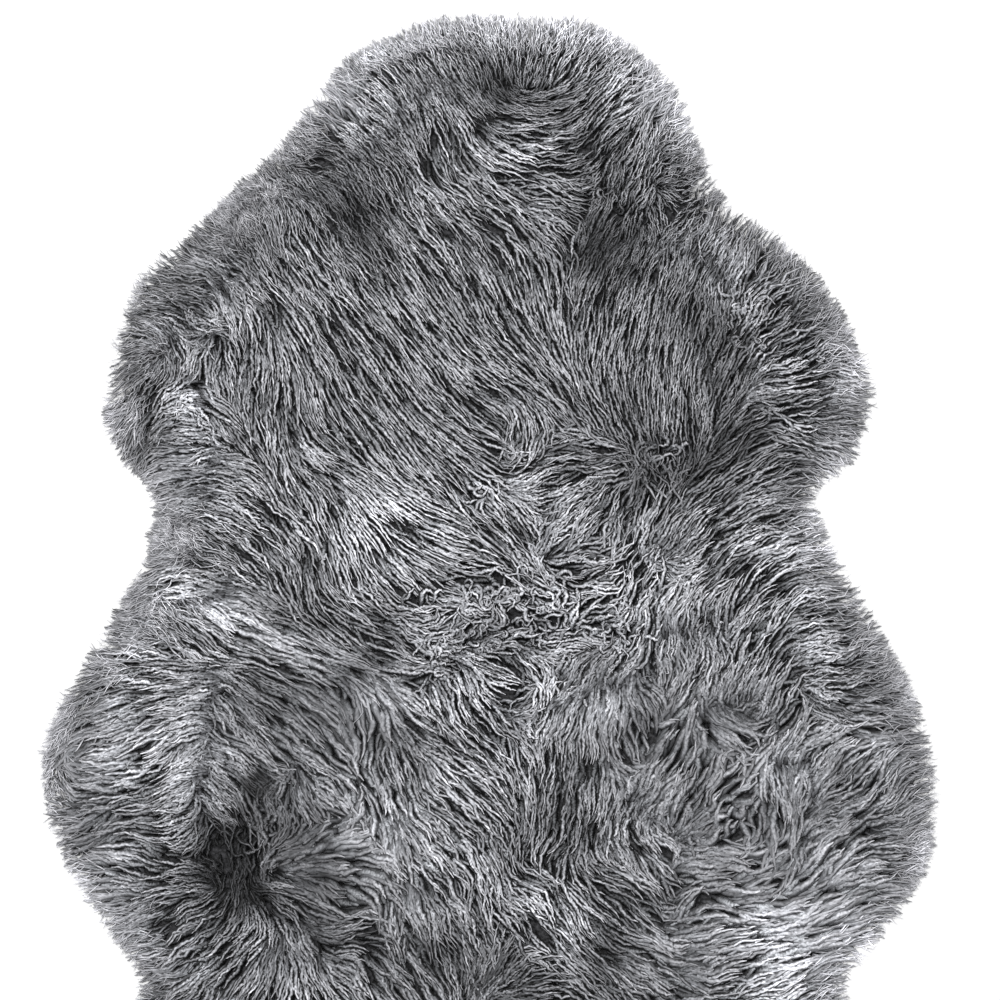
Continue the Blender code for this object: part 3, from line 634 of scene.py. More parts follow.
# What the strands that grow from the grid are told of the place where they stand.
grid_facts = {
    "height": height,
    "depth_in": depth_in,
    "sown": sown,
    "order": order,
    "paler": charted(DYE_AND_SHADING),
    "shorter": shorter,
    "coarser": -staple,
    "curly": curly,
    "curled": np.clip(2 * curly - 1, 0, 1),
    "calm": np.clip(charted(CALM), 0, 1),
    "coat_sown": sown * (1 - CURLY_COAT * np.minimum(curly, 1)),
    "under_sown": np.maximum(sown, 1) * (1 - CURLY_UNDER * np.minimum(curly, 1)) * (depth_in > 0),
    "soft": soft,
    "at_rim": np.clip(1 - depth_in / SOFT_RIM, 0, 1),
    "parting": parting,
}
grid_mesh = bpy.data.meshes.new("lay_of_the_wool")
numbers = np.arange(grid_x.size).reshape(grid_x.shape)
squares = np.stack([numbers[:-1, :-1], numbers[:-1, 1:], numbers[1:, 1:], numbers[1:, :-1]], axis=-1)
places = np.stack([grid_x, grid_y, np.zeros(grid_x.shape)], axis=-1).reshape(-1, 3)
grid_mesh.from_pydata(places.tolist(), [], squares.reshape(-1, 4).tolist())
for name, values in grid_facts.items():
    stored = grid_mesh.attributes.new(name, "FLOAT", "POINT")
    stored.data.foreach_set("value", values.ravel())
stored = grid_mesh.attributes.new("comb", "FLOAT_VECTOR", "POINT")
stored.data.foreach_set("vector", np.stack([comb_x, comb_y, np.zeros(grid_x.shape)], axis=-1).ravel())

UNDERWOOL_INSET = 12 * MM  # from the wool's rim in to the edge of the underwool
UNDERWOOL_DROP = 7.5 * MM  # from the top of the wool down to that of the underwool
UNDERWOOL_LOW = 2.2 * MM  # its underside, just over the skin
UNDERWOOL_LEAST = 1.2 * MM  # its thickness where it is thinnest
UNDERWOOL_LUMP = 2.6 * MM  # width of its felted lumps
# Painted shade in part: these colours are darker for the shadow deep between the locks.
UNDERWOOL_COLOUR = "#48484b"
UNDERWOOL_SHADE = "#0c0c0d"

top_z = np.maximum(averaged(height, 2) - UNDERWOOL_DROP, UNDERWOOL_LOW + UNDERWOOL_LEAST)
kept = (depth_in > UNDERWOOL_INSET)[::2, ::2]
top_z, coarse_x, coarse_y = top_z[::2, ::2], grid_x[::2, ::2], grid_y[::2, ::2]
underwool_form = bmesh.new()
tops, bottoms = {}, {}
for row, column in np.argwhere(kept[:-1, :-1] & kept[:-1, 1:] & kept[1:, 1:] & kept[1:, :-1]):
    ring = [(row, column), (row, column + 1), (row + 1, column + 1), (row + 1, column)]
    for r, c in ring:
        if (r, c) not in tops:
            x, y = coarse_x[r, c], coarse_y[r, c]
            tops[r, c] = underwool_form.verts.new((x, y, top_z[r, c]))
            bottoms[r, c] = underwool_form.verts.new((x, y, UNDERWOOL_LOW))
    underwool_form.faces.new([tops[k] for k in ring])
    underwool_form.faces.new([bottoms[k] for k in reversed(ring)])
lower = {tops[k]: bottoms[k] for k in tops}
for edge in [e for e in underwool_form.edges if e.is_boundary and e.verts[0] in lower]:
    a, b = edge.verts
    underwool_form.faces.new([a, b, lower[b], lower[a]])
bmesh.ops.recalc_face_normals(underwool_form, faces=underwool_form.faces)
underwool_mesh = bpy.data.meshes.new("underwool")
underwool_form.to_mesh(underwool_mesh)
underwool_form.free()
underwool_mesh.shade_smooth()

# Felted wool, quite without gloss. Its near-black colour is partly the wool's own and partly painted
# shade, for the deep shadow between the strands.
felt, tree = new_material("Felted underwool with painted shade")
place = add(tree, "ShaderNodeTexCoord").outputs["Object"]
lumps = add(tree, "ShaderNodeTexNoise", {"Vector": place, "Scale": 1 / UNDERWOOL_LUMP, "Detail": 6.0})
fibrous = add(tree, "ShaderNodeMapRange", {"Value": lumps, "From Min": 0.35, "From Max": 0.65})
tint = {"Factor": fibrous, "A": linear(UNDERWOOL_SHADE), "B": linear(UNDERWOOL_COLOUR)}
tint = in_use(add(tree, "ShaderNodeMix", tint, data_type="RGBA").outputs, "Result")
relief = add(tree, "ShaderNodeBump", {"Height": lumps, "Strength": 1.0, "Distance": 1.5 * MM})
finish = {"Base Color": tint, "Roughness": 1.0, "Normal": relief}
finish = add(tree, "ShaderNodeBsdfPrincipled", finish)
add(tree, "ShaderNodeOutputMaterial", {"Surface": finish})

underwool = new_object("underwool", underwool_mesh, felt)
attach(underwool, "root")
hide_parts("sheepskin")

# ---------------------------------------------------------------------------------------------------
# Long wool. Wavy strands, most of them 25 to 50 mm long, that grow out of the underwool, gather into
# locks and lie over one another. The fleece is parted into five pieces along the skin, as a wool
# classer parts it: neck, shoulders, loin, hips and tail.

PARTING_OVERLAP = 7 * MM  # how far over a parting the strands of its two sides start
RIM_ROOM = 9 * MM  # over this distance before the end of its reach past the rim, a strand slows down
RIM_PACE = 0.16  # to this share of its pace
LOCKS_PER_M2 = 60000.0  # tried, of which those that are too close to another are left out
FLOOR_ROOM = 2 * MM  # least height of a strand's middle over the floor
GATHER_POWER = 1.3  # a strand gathers to its lock late
ROOT_POWER = 3.0  # and leaves the underwool early
DIP_POWER = 6.0  # only its tip dips
TAPER_POWER, TAPER = 4.5, 0.86  # only its tip tapers, by this share
THIN_RIM = 55 * MM  # in from the rim, a strand's share of the given width grows over this distance
THIN_SHARE, FULL_SHARE = 0.14, 0.5
# Where the comb's strokes meet head on, the wool is short and lies every way.
CLEAR_ORDER, RUFFLED_LENGTH, RUFFLED_TURN = 0.75, 0.45, 3.2
CALMING = 0.6  # how much less the locks differ where the wool has been combed smooth
CURLY_TURN, CURLY_SWING, CURLY_LIFT = 0.8, 0.5, 0.8  # what is added to a lock's draws where it curls
PARTED_RISE = 0.7  # how much less deep the roots lie where the wool parts
NOISE_LOW, NOISE_HIGH = 0.3, 0.7  # most of a noise texture's values lie between these

GEOMETRY, FLOAT, INTEGER = "NodeSocketGeometry", "NodeSocketFloat", "NodeSocketInt"


def new_group(name, inputs):
    """A Geometry Nodes tree with one geometry output and these inputs of each kind, and its inputs."""
    group = bpy.data.node_groups.new(name, "GeometryNodeTree")
    for kind, labels in inputs.items():
        for label in labels:
            group.interface.new_socket(label, in_out="INPUT", socket_type=kind)
    group.interface.new_socket("Geometry", in_out="OUTPUT", socket_type=GEOMETRY)
    return group, add(group, "NodeGroupInput").outputs


# A tree that lets strands grow from points, each step the way the wool is combed where it has got to.
grow, given = new_group(
    "grow along the comb",
    {GEOMETRY: ("Roots", "Lay"), INTEGER: ("Points",), FLOAT: ("Crimp Swing", "Crimps", "Yielding")},
)
own = {
    name: add(grow, "GeometryNodeInputNamedAttribute", {"Name": name}, data_type="FLOAT")
    for name in ("length", "turn", "phase", "swing", "reach", "parting")
}
here = add(grow, "GeometryNodeInputPosition")
lay = {}
for name, kind in (("comb", "FLOAT_VECTOR"), ("depth_in", "FLOAT")):
    lay[name] = add(grow, "GeometryNodeInputNamedAttribute", {"Name": name}, data_type=kind)
    lay[name] = {"Mesh": given["Lay"], "Value": lay[name], "Sample Position": here}
    lay[name] = add(grow, "GeometryNodeSampleNearestSurface", lay[name], data_type=kind)

steps = add(grow, "ShaderNodeMath", [given["Points"], 1.0], operation="SUBTRACT")
line = add(grow, "GeometryNodeCurvePrimitiveLine", {"End": (0, 0, MM)})
line = add(grow, "GeometryNodeResampleCurve", {"Curve": line, "Count": given["Points"]})
placed = add(grow, "GeometryNodeInstanceOnPoints", {"Points": given["Roots"], "Instance": line})
placed = add(grow, "GeometryNodeRealizeInstances", {"Geometry": placed})
comb = add(grow, "ShaderNodeVectorMath", [lay["comb"]], operation="NORMALIZE")
placed = {"Geometry": placed, "Name": "heading", "Value": comb}
placed = add(grow, "GeometryNodeStoreNamedAttribute", placed, data_type="FLOAT_VECTOR")
back = add(grow, "ShaderNodeMath", [own["parting"], -PARTING_OVERLAP], operation="MULTIPLY")
back = add(grow, "ShaderNodeVectorMath", {0: comb, "Scale": back}, operation="SCALE")
placed = add(grow, "GeometryNodeSetPosition", {"Geometry": placed, "Offset": back})

repeat_in = add(grow, "GeometryNodeRepeatInput")
repeat_out = add(grow, "GeometryNodeRepeatOutput")
repeat_in.pair_with_output(repeat_out)
grow.links.new(placed.outputs[0], repeat_in.inputs["Geometry"])
grow.links.new(steps.outputs[0], repeat_in.inputs["Iterations"])
turn_now = repeat_in.outputs["Iteration"]
share = add(grow, "ShaderNodeMath", [turn_now, steps], operation="DIVIDE")
waves = add(grow, "ShaderNodeMath", [share, given["Crimps"], own["phase"]], operation="MULTIPLY_ADD")
waves = add(grow, "ShaderNodeMath", [waves, math.tau], operation="MULTIPLY")
waves = add(grow, "ShaderNodeMath", [waves], operation="SINE")
swing = add(grow, "ShaderNodeMath", [given["Crimp Swing"]], operation="RADIANS")
swing = add(grow, "ShaderNodeMath", [swing, own["swing"]], operation="MULTIPLY")
angle = add(grow, "ShaderNodeMath", [waves, swing, own["turn"]], operation="MULTIPLY_ADD")

# Its heading yields a little to the comb at each step, whichever way along its line that points.
heading = add(grow, "GeometryNodeInputNamedAttribute", {"Name": "heading"}, data_type="FLOAT_VECTOR")
onward = add(grow, "ShaderNodeVectorMath", [heading, comb], operation="DOT_PRODUCT")
onward = add(grow, "ShaderNodeMath", [in_use(onward.outputs, "Value")], operation="SIGN")
onward = add(grow, "ShaderNodeVectorMath", {0: comb, "Scale": onward}, operation="SCALE")
yielded = {"Factor": given["Yielding"], "A": heading, "B": onward}
yielded = in_use(add(grow, "ShaderNodeMix", yielded, data_type="VECTOR").outputs, "Result")
yielded = add(grow, "ShaderNodeVectorMath", [yielded], operation="NORMALIZE")
headed = {"Geometry": repeat_in.outputs["Geometry"], "Name": "heading", "Value": yielded}
headed = add(grow, "GeometryNodeStoreNamedAttribute", headed, data_type="FLOAT_VECTOR")
ahead = add(grow, "ShaderNodeVectorRotate", {"Vector": heading, "Angle": angle}, rotation_type="Z_AXIS")
room = add(grow, "ShaderNodeMath", [lay["depth_in"], own["reach"]], operation="ADD")
room = {"Value": room, "From Min": 0.0, "From Max": RIM_ROOM, "To Min": RIM_PACE}
room = add(grow, "ShaderNodeMapRange", room)
pace = add(grow, "ShaderNodeMath", [own["length"], steps], operation="DIVIDE")
pace = add(grow, "ShaderNodeMath", [pace, room], operation="MULTIPLY")
offset = add(grow, "ShaderNodeVectorMath", {0: ahead, "Scale": pace}, operation="SCALE")
beyond = {2: add(grow, "GeometryNodeSplineParameter").outputs["Index"], 3: turn_now}
beyond = add(grow, "FunctionNodeCompare", beyond, data_type="INT", operation="GREATER_THAN")
moved = {"Geometry": headed, "Selection": beyond, "Offset": offset}
moved = add(grow, "GeometryNodeSetPosition", moved)
grow.links.new(moved.outputs[0], repeat_out.inputs["Geometry"])
add(grow, "NodeGroupOutput", {"Geometry": repeat_out.outputs["Geometry"]})

# The tree of a coat of wool: the middles of its locks first, then the strands that gather to them.
COAT_INPUTS = {
    GEOMETRY: ("Lay",),
    FLOAT: (
        "From", "To", "Least Depth", "Most Depth", "Lock Spacing", "Density", "Fade", "Length",
        "Length Spread", "Reach", "Width", "Flatness", "Root Depth", "Tip Dip", "Lift", "Sink",
        "Crimp Swing", "Crimps", "Fray", "Stray", "Ripple", "Ripples", "Kink", "Yielding", "Gather",
    ),
    INTEGER: ("Points", "Seed", "Lock Seed"),
    "NodeSocketMaterial": ("Material",),
}
coat, given = new_group("coat of wool", COAT_INPUTS)
here = add(coat, "GeometryNodeInputPosition")
fact = {
    name: add(coat, "GeometryNodeInputNamedAttribute", {"Name": name}, data_type="FLOAT")
    for name in (
        "depth_in", "sown", "order", "shorter", "coarser", "curly", "calm", "parting", "tone", "lift",
        "ripple", "girth",
    )
}
here_y = add(coat, "ShaderNodeSeparateXYZ", [here]).outputs["Y"]
deep = [fact["depth_in"], given["Least Depth"]]
deep = in_piece = add(coat, "FunctionNodeCompare", deep, operation="GREATER_THAN")
for place, limit, side in (
    (fact["depth_in"], "Most Depth", "LESS_THAN"),
    (here_y, "From", "GREATER_EQUAL"),
    (here_y, "To", "LESS_THAN"),
):
    within = add(coat, "FunctionNodeCompare", [place, given[limit]], operation=side)
    in_piece = add(coat, "FunctionNodeBooleanMath", [in_piece, within], operation="AND")

locks = {"Mesh": given["Lay"], "Selection": deep, "Distance Min": given["Lock Spacing"]}
locks |= {"Density Max": LOCKS_PER_M2, "Seed": 1}
locks = add(coat, "GeometryNodeDistributePointsOnFaces", locks, distribute_method="POISSON")
lock_points = locks.outputs["Points"]
turns = {}
for name in ("Fray", "Stray"):
    turns[name] = add(coat, "ShaderNodeMath", [given[name]], operation="RADIANS")
    turns[name + " Back"] = add(coat, "ShaderNodeMath", [turns[name], -1.0], operation="MULTIPLY")
shortest, longest = (
    add(coat, "ShaderNodeMath", [1.0, given["Length Spread"]], operation=side)
    for side in ("SUBTRACT", "ADD")
)
# name, lowest, highest, width of the patches in which neighbouring locks draw alike, and how much the
# patch rules the draw
LOCK_DRAWS = (
    ("length", shortest, longest, 40 * MM, 0.3),
    ("turn", turns["Fray Back"], turns["Fray"], 16 * MM, 0.4),
    ("phase", 0.0, 2.4, 55 * MM, 0.85),
    ("swing", 0.25, 1.0, 60 * MM, 0.6),
    ("lift", 0.2, 0.8, 28 * MM, 0.3),
    ("tone", -0.3, 0.3, 30 * MM, 0.2),
    ("reach", 0.5, 1.0, 12 * MM, 0.4),
)
# name, lowest, highest: what each strand adds to its lock's draw, or for a length multiplies it by
STRAND_DRAWS = (
    ("length", 0.8, 1.15),
    ("turn", turns["Stray Back"], turns["Stray"]),
    ("phase", -0.1, 0.1),
    ("swing", -0.2, 0.2),
    ("lift", -0.45, 0.45),
    ("tone", -0.55, 0.55),
    ("reach", 0.4, 1.2),
    ("girth", 0.6, 1.3),
    ("ripple", 0.0, 1.0),
)
LENGTHS = ("length", "reach")  # these are drawn as shares of the tree's inputs of the same names
uneven = add(coat, "ShaderNodeMath", [fact["calm"], -CALMING, 1.0], operation="MULTIPLY_ADD")
ruffled = {"Value": fact["order"], "From Max": CLEAR_ORDER, "To Min": RUFFLED_TURN}
ruffled = add(coat, "ShaderNodeMapRange", ruffled)
ruffled = add(coat, "ShaderNodeMath", [ruffled, uneven], operation="MULTIPLY")
close = {"Value": fact["order"], "From Max": CLEAR_ORDER, "To Min": RUFFLED_LENGTH}
close = add(coat, "ShaderNodeMapRange", close)
staple = add(coat, "ShaderNodeMath", [fact["shorter"], -SHORTENING, 1.0], operation="MULTIPLY_ADD")
# What a lock's draw is multiplied by, where it stands.
changes = {"length": add(coat, "ShaderNodeMath", [close, staple], operation="MULTIPLY"), "tone": uneven}
for name, more, base in (
    ("turn", CURLY_TURN, ruffled), ("swing", CURLY_SWING, uneven), ("lift", CURLY_LIFT, 1.0),
):
    change = [fact["curly"], more, base]
    changes[name] = add(coat, "ShaderNodeMath", change, operation="MULTIPLY_ADD")
for number, (name, low, high, patch, alike) in enumerate(LOCK_DRAWS):
    seed = add(coat, "ShaderNodeMath", [given["Lock Seed"], float(number)], operation="ADD")
    alone = add(coat, "FunctionNodeRandomValue", {"Seed": seed}, data_type="FLOAT")
    alone = in_use(alone.outputs, "Value")
    shifted = add(coat, "ShaderNodeCombineXYZ", [seed])
    shifted = add(coat, "ShaderNodeVectorMath", [here, shifted], operation="ADD")
    shared = add(coat, "ShaderNodeTexNoise", {"Vector": shifted, "Scale": 1 / patch, "Detail": 1.0})
    shared = {"Value": shared, "From Min": NOISE_LOW, "From Max": NOISE_HIGH}
    shared = add(coat, "ShaderNodeMapRange", shared)
    draw = add(coat, "ShaderNodeMix", {"Factor": alike, "A": alone, "B": shared}, data_type="FLOAT")
    draw = {"Value": in_use(draw.outputs, "Result"), "To Min": low, "To Max": high}
    draw = add(coat, "ShaderNodeMapRange", draw)
    if name in changes:
        draw = add(coat, "ShaderNodeMath", [draw, changes[name]], operation="MULTIPLY")
    if name in LENGTHS:
        draw = add(coat, "ShaderNodeMath", [draw, given[name.title()]], operation="MULTIPLY")
    lock_points = {"Geometry": lock_points, "Name": name, "Value": draw}
    lock_points = add(coat, "GeometryNodeStoreNamedAttribute", lock_points)

left = add(coat, "ShaderNodeMath", [given["Most Depth"], fact["depth_in"]], operation="SUBTRACT")
density = add(coat, "ShaderNodeMapRange", {"Value": left, "From Max": given["Fade"]})
density = add(coat, "ShaderNodeMath", [fact["sown"], density], operation="MULTIPLY")
density = add(coat, "ShaderNodeMath", [density, given["Density"]], operation="MULTIPLY")
strands = {"Mesh": given["Lay"], "Selection": in_piece, "Density": density, "Seed": given["Seed"]}
strands = add(coat, "GeometryNodeDistributePointsOnFaces", strands)
lock_at = add(coat, "GeometryNodeSampleNearest", {"Geometry": lock_points, "Sample Position": here})
strands = {"Geometry": strands.outputs["Points"], "Name": "lock", "Value": lock_at}
strands = add(coat, "GeometryNodeStoreNamedAttribute", strands, data_type="INT")
lock_of = add(coat, "GeometryNodeInputNamedAttribute", {"Name": "lock"}, data_type="INT")
for number, (name, low, high) in enumerate(STRAND_DRAWS):
    seed = add(coat, "ShaderNodeMath", [given["Seed"], 17.0 * number + 9], operation="ADD")
    draw = {"Min": low, "Max": high, "Seed": seed}
    draw = in_use(add(coat, "FunctionNodeRandomValue", draw, data_type="FLOAT").outputs, "Value")
    if name not in ("girth", "ripple"):
        stored = add(coat, "GeometryNodeInputNamedAttribute", {"Name": name}, data_type="FLOAT")
        stored = {"Geometry": lock_points, "Value": stored, "Index": lock_of}
        stored = add(coat, "GeometryNodeSampleIndex", stored, data_type="FLOAT")
        kind = "MULTIPLY" if name in LENGTHS else "ADD"
        draw = add(coat, "ShaderNodeMath", [stored, draw], operation=kind)
    strands = {"Geometry": strands, "Name": name, "Value": draw}
    strands = add(coat, "GeometryNodeStoreNamedAttribute", strands)

# Painted shade: the strands that lie highest are the palest and those that lie lowest the darkest, as if
# shadowed by those above them.
tone = add(coat, "ShaderNodeMath", [fact["tone"], fact["lift"]], operation="ADD")
tone = add(coat, "ShaderNodeMath", [tone, -0.5], operation="ADD")
tone = add(coat, "ShaderNodeMath", [tone, uneven], operation="MULTIPLY")
strands = add(coat, "GeometryNodeStoreNamedAttribute", {"Geometry": strands, "Name": "tone", "Value": tone})

grown = []
for roots in (lock_points, strands):
    grown.append(add(coat, "GeometryNodeGroup", node_tree=grow))
    coat.links.new(roots.outputs[0], grown[-1].inputs["Roots"])
    for name in ("Lay", "Points", "Crimp Swing", "Crimps", "Yielding"):
        coat.links.new(given[name], grown[-1].inputs[name])
middles, hairs = grown

# Each strand is drawn over to the middle of its lock, the more the nearer to its tip.
spline = add(coat, "GeometryNodeSplineParameter")
factor = spline.outputs["Factor"]
guide = [lock_of, given["Points"], spline.outputs["Index"]]
guide = add(coat, "ShaderNodeMath", guide, operation="MULTIPLY_ADD")
guide = {"Geometry": middles, "Value": here, "Index": guide}
guide = add(coat, "GeometryNodeSampleIndex", guide, data_type="FLOAT_VECTOR")
pull = add(coat, "ShaderNodeMath", [factor, GATHER_POWER], operation="POWER")
pull = add(coat, "ShaderNodeMath", [pull, given["Gather"]], operation="MULTIPLY")
gathered = add(coat, "ShaderNodeMix", {"Factor": pull, "A": here, "B": guide}, data_type="VECTOR")
kink = add(coat, "ShaderNodeMath", [given["Kink"], -1.0], operation="MULTIPLY")
kink = {"Min": kink, "Max": given["Kink"]}
kink = add(coat, "FunctionNodeRandomValue", kink, data_type="FLOAT_VECTOR")
hairs = {"Geometry": hairs, "Position": in_use(gathered.outputs, "Result"), "Offset": kink}
hairs = add(coat, "GeometryNodeSetPosition", hairs)

# Its colour follows the charts of the places that it passes over, and its height that of the wool there.
passed = {}
for name in ("paler", "soft", "height"):
    there = add(coat, "GeometryNodeInputNamedAttribute", {"Name": name}, data_type="FLOAT")
    there = {"Mesh": given["Lay"], "Value": there, "Sample Position": here}
    passed[name] = add(coat, "GeometryNodeSampleNearestSurface", there, data_type="FLOAT")
for name in ("paler", "soft"):
    hairs = {"Geometry": hairs, "Name": name, "Value": passed[name]}
    hairs = add(coat, "GeometryNodeStoreNamedAttribute", hairs)
sunk = add(coat, "ShaderNodeMath", [1.0, factor], operation="SUBTRACT")
sunk = add(coat, "ShaderNodeMath", [sunk, ROOT_POWER], operation="POWER")
crowd = add(coat, "ShaderNodeMath", [fact["sown"], 1.0], operation="MAXIMUM")
crowd = add(coat, "ShaderNodeMath", [crowd, -0.5], operation="POWER")
parted = [fact["parting"], -PARTED_RISE, 1.0]
parted = add(coat, "ShaderNodeMath", parted, operation="MULTIPLY_ADD")
for times in (given["Root Depth"], crowd, parted):
    sunk = add(coat, "ShaderNodeMath", [sunk, times], operation="MULTIPLY")
ripple = add(coat, "ShaderNodeMath", [factor, given["Ripples"], fact["ripple"]], operation="MULTIPLY_ADD")
ripple = add(coat, "ShaderNodeMath", [ripple, math.tau], operation="MULTIPLY")
ripple = add(coat, "ShaderNodeMath", [ripple], operation="SINE")
lift = add(coat, "ShaderNodeMath", [fact["lift"], -0.5], operation="ADD")
lift = add(coat, "ShaderNodeMath", [lift, given["Lift"]], operation="MULTIPLY")
lift = add(coat, "ShaderNodeMath", [ripple, given["Ripple"], lift], operation="MULTIPLY_ADD")
dipped = [add(coat, "ShaderNodeMath", [factor, DIP_POWER], operation="POWER")]
dipped += [given["Tip Dip"], given["Sink"]]
dipped = add(coat, "ShaderNodeMath", dipped, operation="MULTIPLY_ADD")
level = passed["height"]
for step, change in (("ADD", lift), ("SUBTRACT", sunk), ("SUBTRACT", dipped), ("MAXIMUM", FLOOR_ROOM)):
    level = add(coat, "ShaderNodeMath", [level, change], operation=step)
flat = add(coat, "ShaderNodeSeparateXYZ", [here])
raised = add(coat, "ShaderNodeCombineXYZ", [flat.outputs["X"], flat.outputs["Y"], level])
hairs = add(coat, "GeometryNodeSetPosition", {"Geometry": hairs, "Position": raised})

# It is a three-sided blade, with a ridge along its top that catches the light.
thick = add(coat, "ShaderNodeMath", [factor, TAPER_POWER], operation="POWER")
thick = add(coat, "ShaderNodeMath", [thick, -TAPER, 1.0], operation="MULTIPLY_ADD")
inland = {"Value": fact["depth_in"], "From Max": THIN_RIM, "To Min": THIN_SHARE, "To Max": FULL_SHARE}
inland = add(coat, "ShaderNodeMapRange", inland)
coarse = add(coat, "ShaderNodeMath", [fact["coarser"], THINNING, 1.0], operation="MULTIPLY_ADD")
for times in (given["Width"], fact["girth"], inland, coarse):
    thick = add(coat, "ShaderNodeMath", [thick, times], operation="MULTIPLY")
hairs = add(coat, "GeometryNodeSetCurveNormal", {"Curve": hairs}, mode="Z_UP")
hairs = add(coat, "GeometryNodeStoreNamedAttribute", {"Geometry": hairs, "Name": "along", "Value": factor})
profile = add(coat, "GeometryNodeCurvePrimitiveCircle", {"Resolution": 3, "Radius": 1.0})
profile = {"Geometry": profile, "Rotation": (0, 0, math.radians(-90))}
profile = add(coat, "GeometryNodeTransform", profile)
flat = add(coat, "ShaderNodeCombineXYZ", [1.0, given["Flatness"], 1.0])
profile = add(coat, "GeometryNodeTransform", {"Geometry": profile, "Scale": flat})
profile = {"Geometry": profile, "Name": "side", "Value": add(coat, "ShaderNodeSeparateXYZ", [here])}
profile = add(coat, "GeometryNodeStoreNamedAttribute", profile)
wool = {"Curve": hairs, "Profile Curve": profile, "Scale": thick, "Fill Caps": True}
wool = add(coat, "GeometryNodeCurveToMesh", wool)
wool = add(coat, "GeometryNodeSetShadeSmooth", {"Geometry": wool})
wool = add(coat, "GeometryNodeRealizeInstances", {"Geometry": wool})
wool = add(coat, "GeometryNodeSetMaterial", {"Geometry": wool, "Material": given["Material"]})
add(coat, "NodeGroupOutput", {"Geometry": wool})

READ_BY_MATERIALS = {"along", "side", "tone", "paler", "soft", "at_rim"}
WORKINGS = {"comb", "heading", "lock"} | {name for name, *_ in STRAND_DRAWS} | set(grid_facts)


def grown_piece(name, group, sizes, sowing):
    """A plain mesh object of what the tree grows over the lay of the wool, sown by this fact of the grid."""
    grid_mesh.attributes["sown"].data.foreach_set("value", grid_facts[sowing].ravel())
    holder = new_object(name + "_holder", grid_mesh)
    modifier = holder.modifiers.new("wool", "NODES")
    modifier.node_group = group
    keys = {s.name: s.identifier for s in group.interface.items_tree if s.in_out == "INPUT"}
    for label, value in sizes.items():
        modifier[keys[label]] = value
    graph = bpy.context.evaluated_depsgraph_get()
    mesh = bpy.data.meshes.new_from_object(holder.evaluated_get(graph), depsgraph=graph)
    mesh.name = name
    for used_up in (WORKINGS - READ_BY_MATERIALS) & set(mesh.attributes.keys()):
        mesh.attributes.remove(mesh.attributes[used_up])
    bpy.data.objects.remove(holder)
    return new_object(name, mesh)


# The patterns are stretched by these along a strand, across it and from one strand to the next. A single
# fibre is 0.03 mm thick, too fine to show, so each of those drawn stands for a few.
KINK_PATTERN = (13.0, 47.0, 0.0)  # kinks along a strand, and a new draw for each strand
GLINT_PATTERN = (6.0, 83.0, 0.0)  # painted glints along a strand, and a new draw for each strand
FIBRE_PATTERN = (2.2, 14.0, 61.0)  # fibres across a strand, patches along it, and a new draw for each
RIDGE, SIDE_EDGE = 0.16, 0.66  # the side attribute where a strand's ridge ends, and at its edge
SOFTEST = 0.85  # how far the softest wool loses the painted shade between its fibres
SOFT_SHADE = 1.3  # the strength of colour that it takes all over instead
SOFT_STREAKS = 0.6  # how far its streaks fade
DARKEST = 0.12  # least share of its colour that the dye and the charted painted shade leave
MIDDLE = 0.35  # how far along a strand its middle colour is


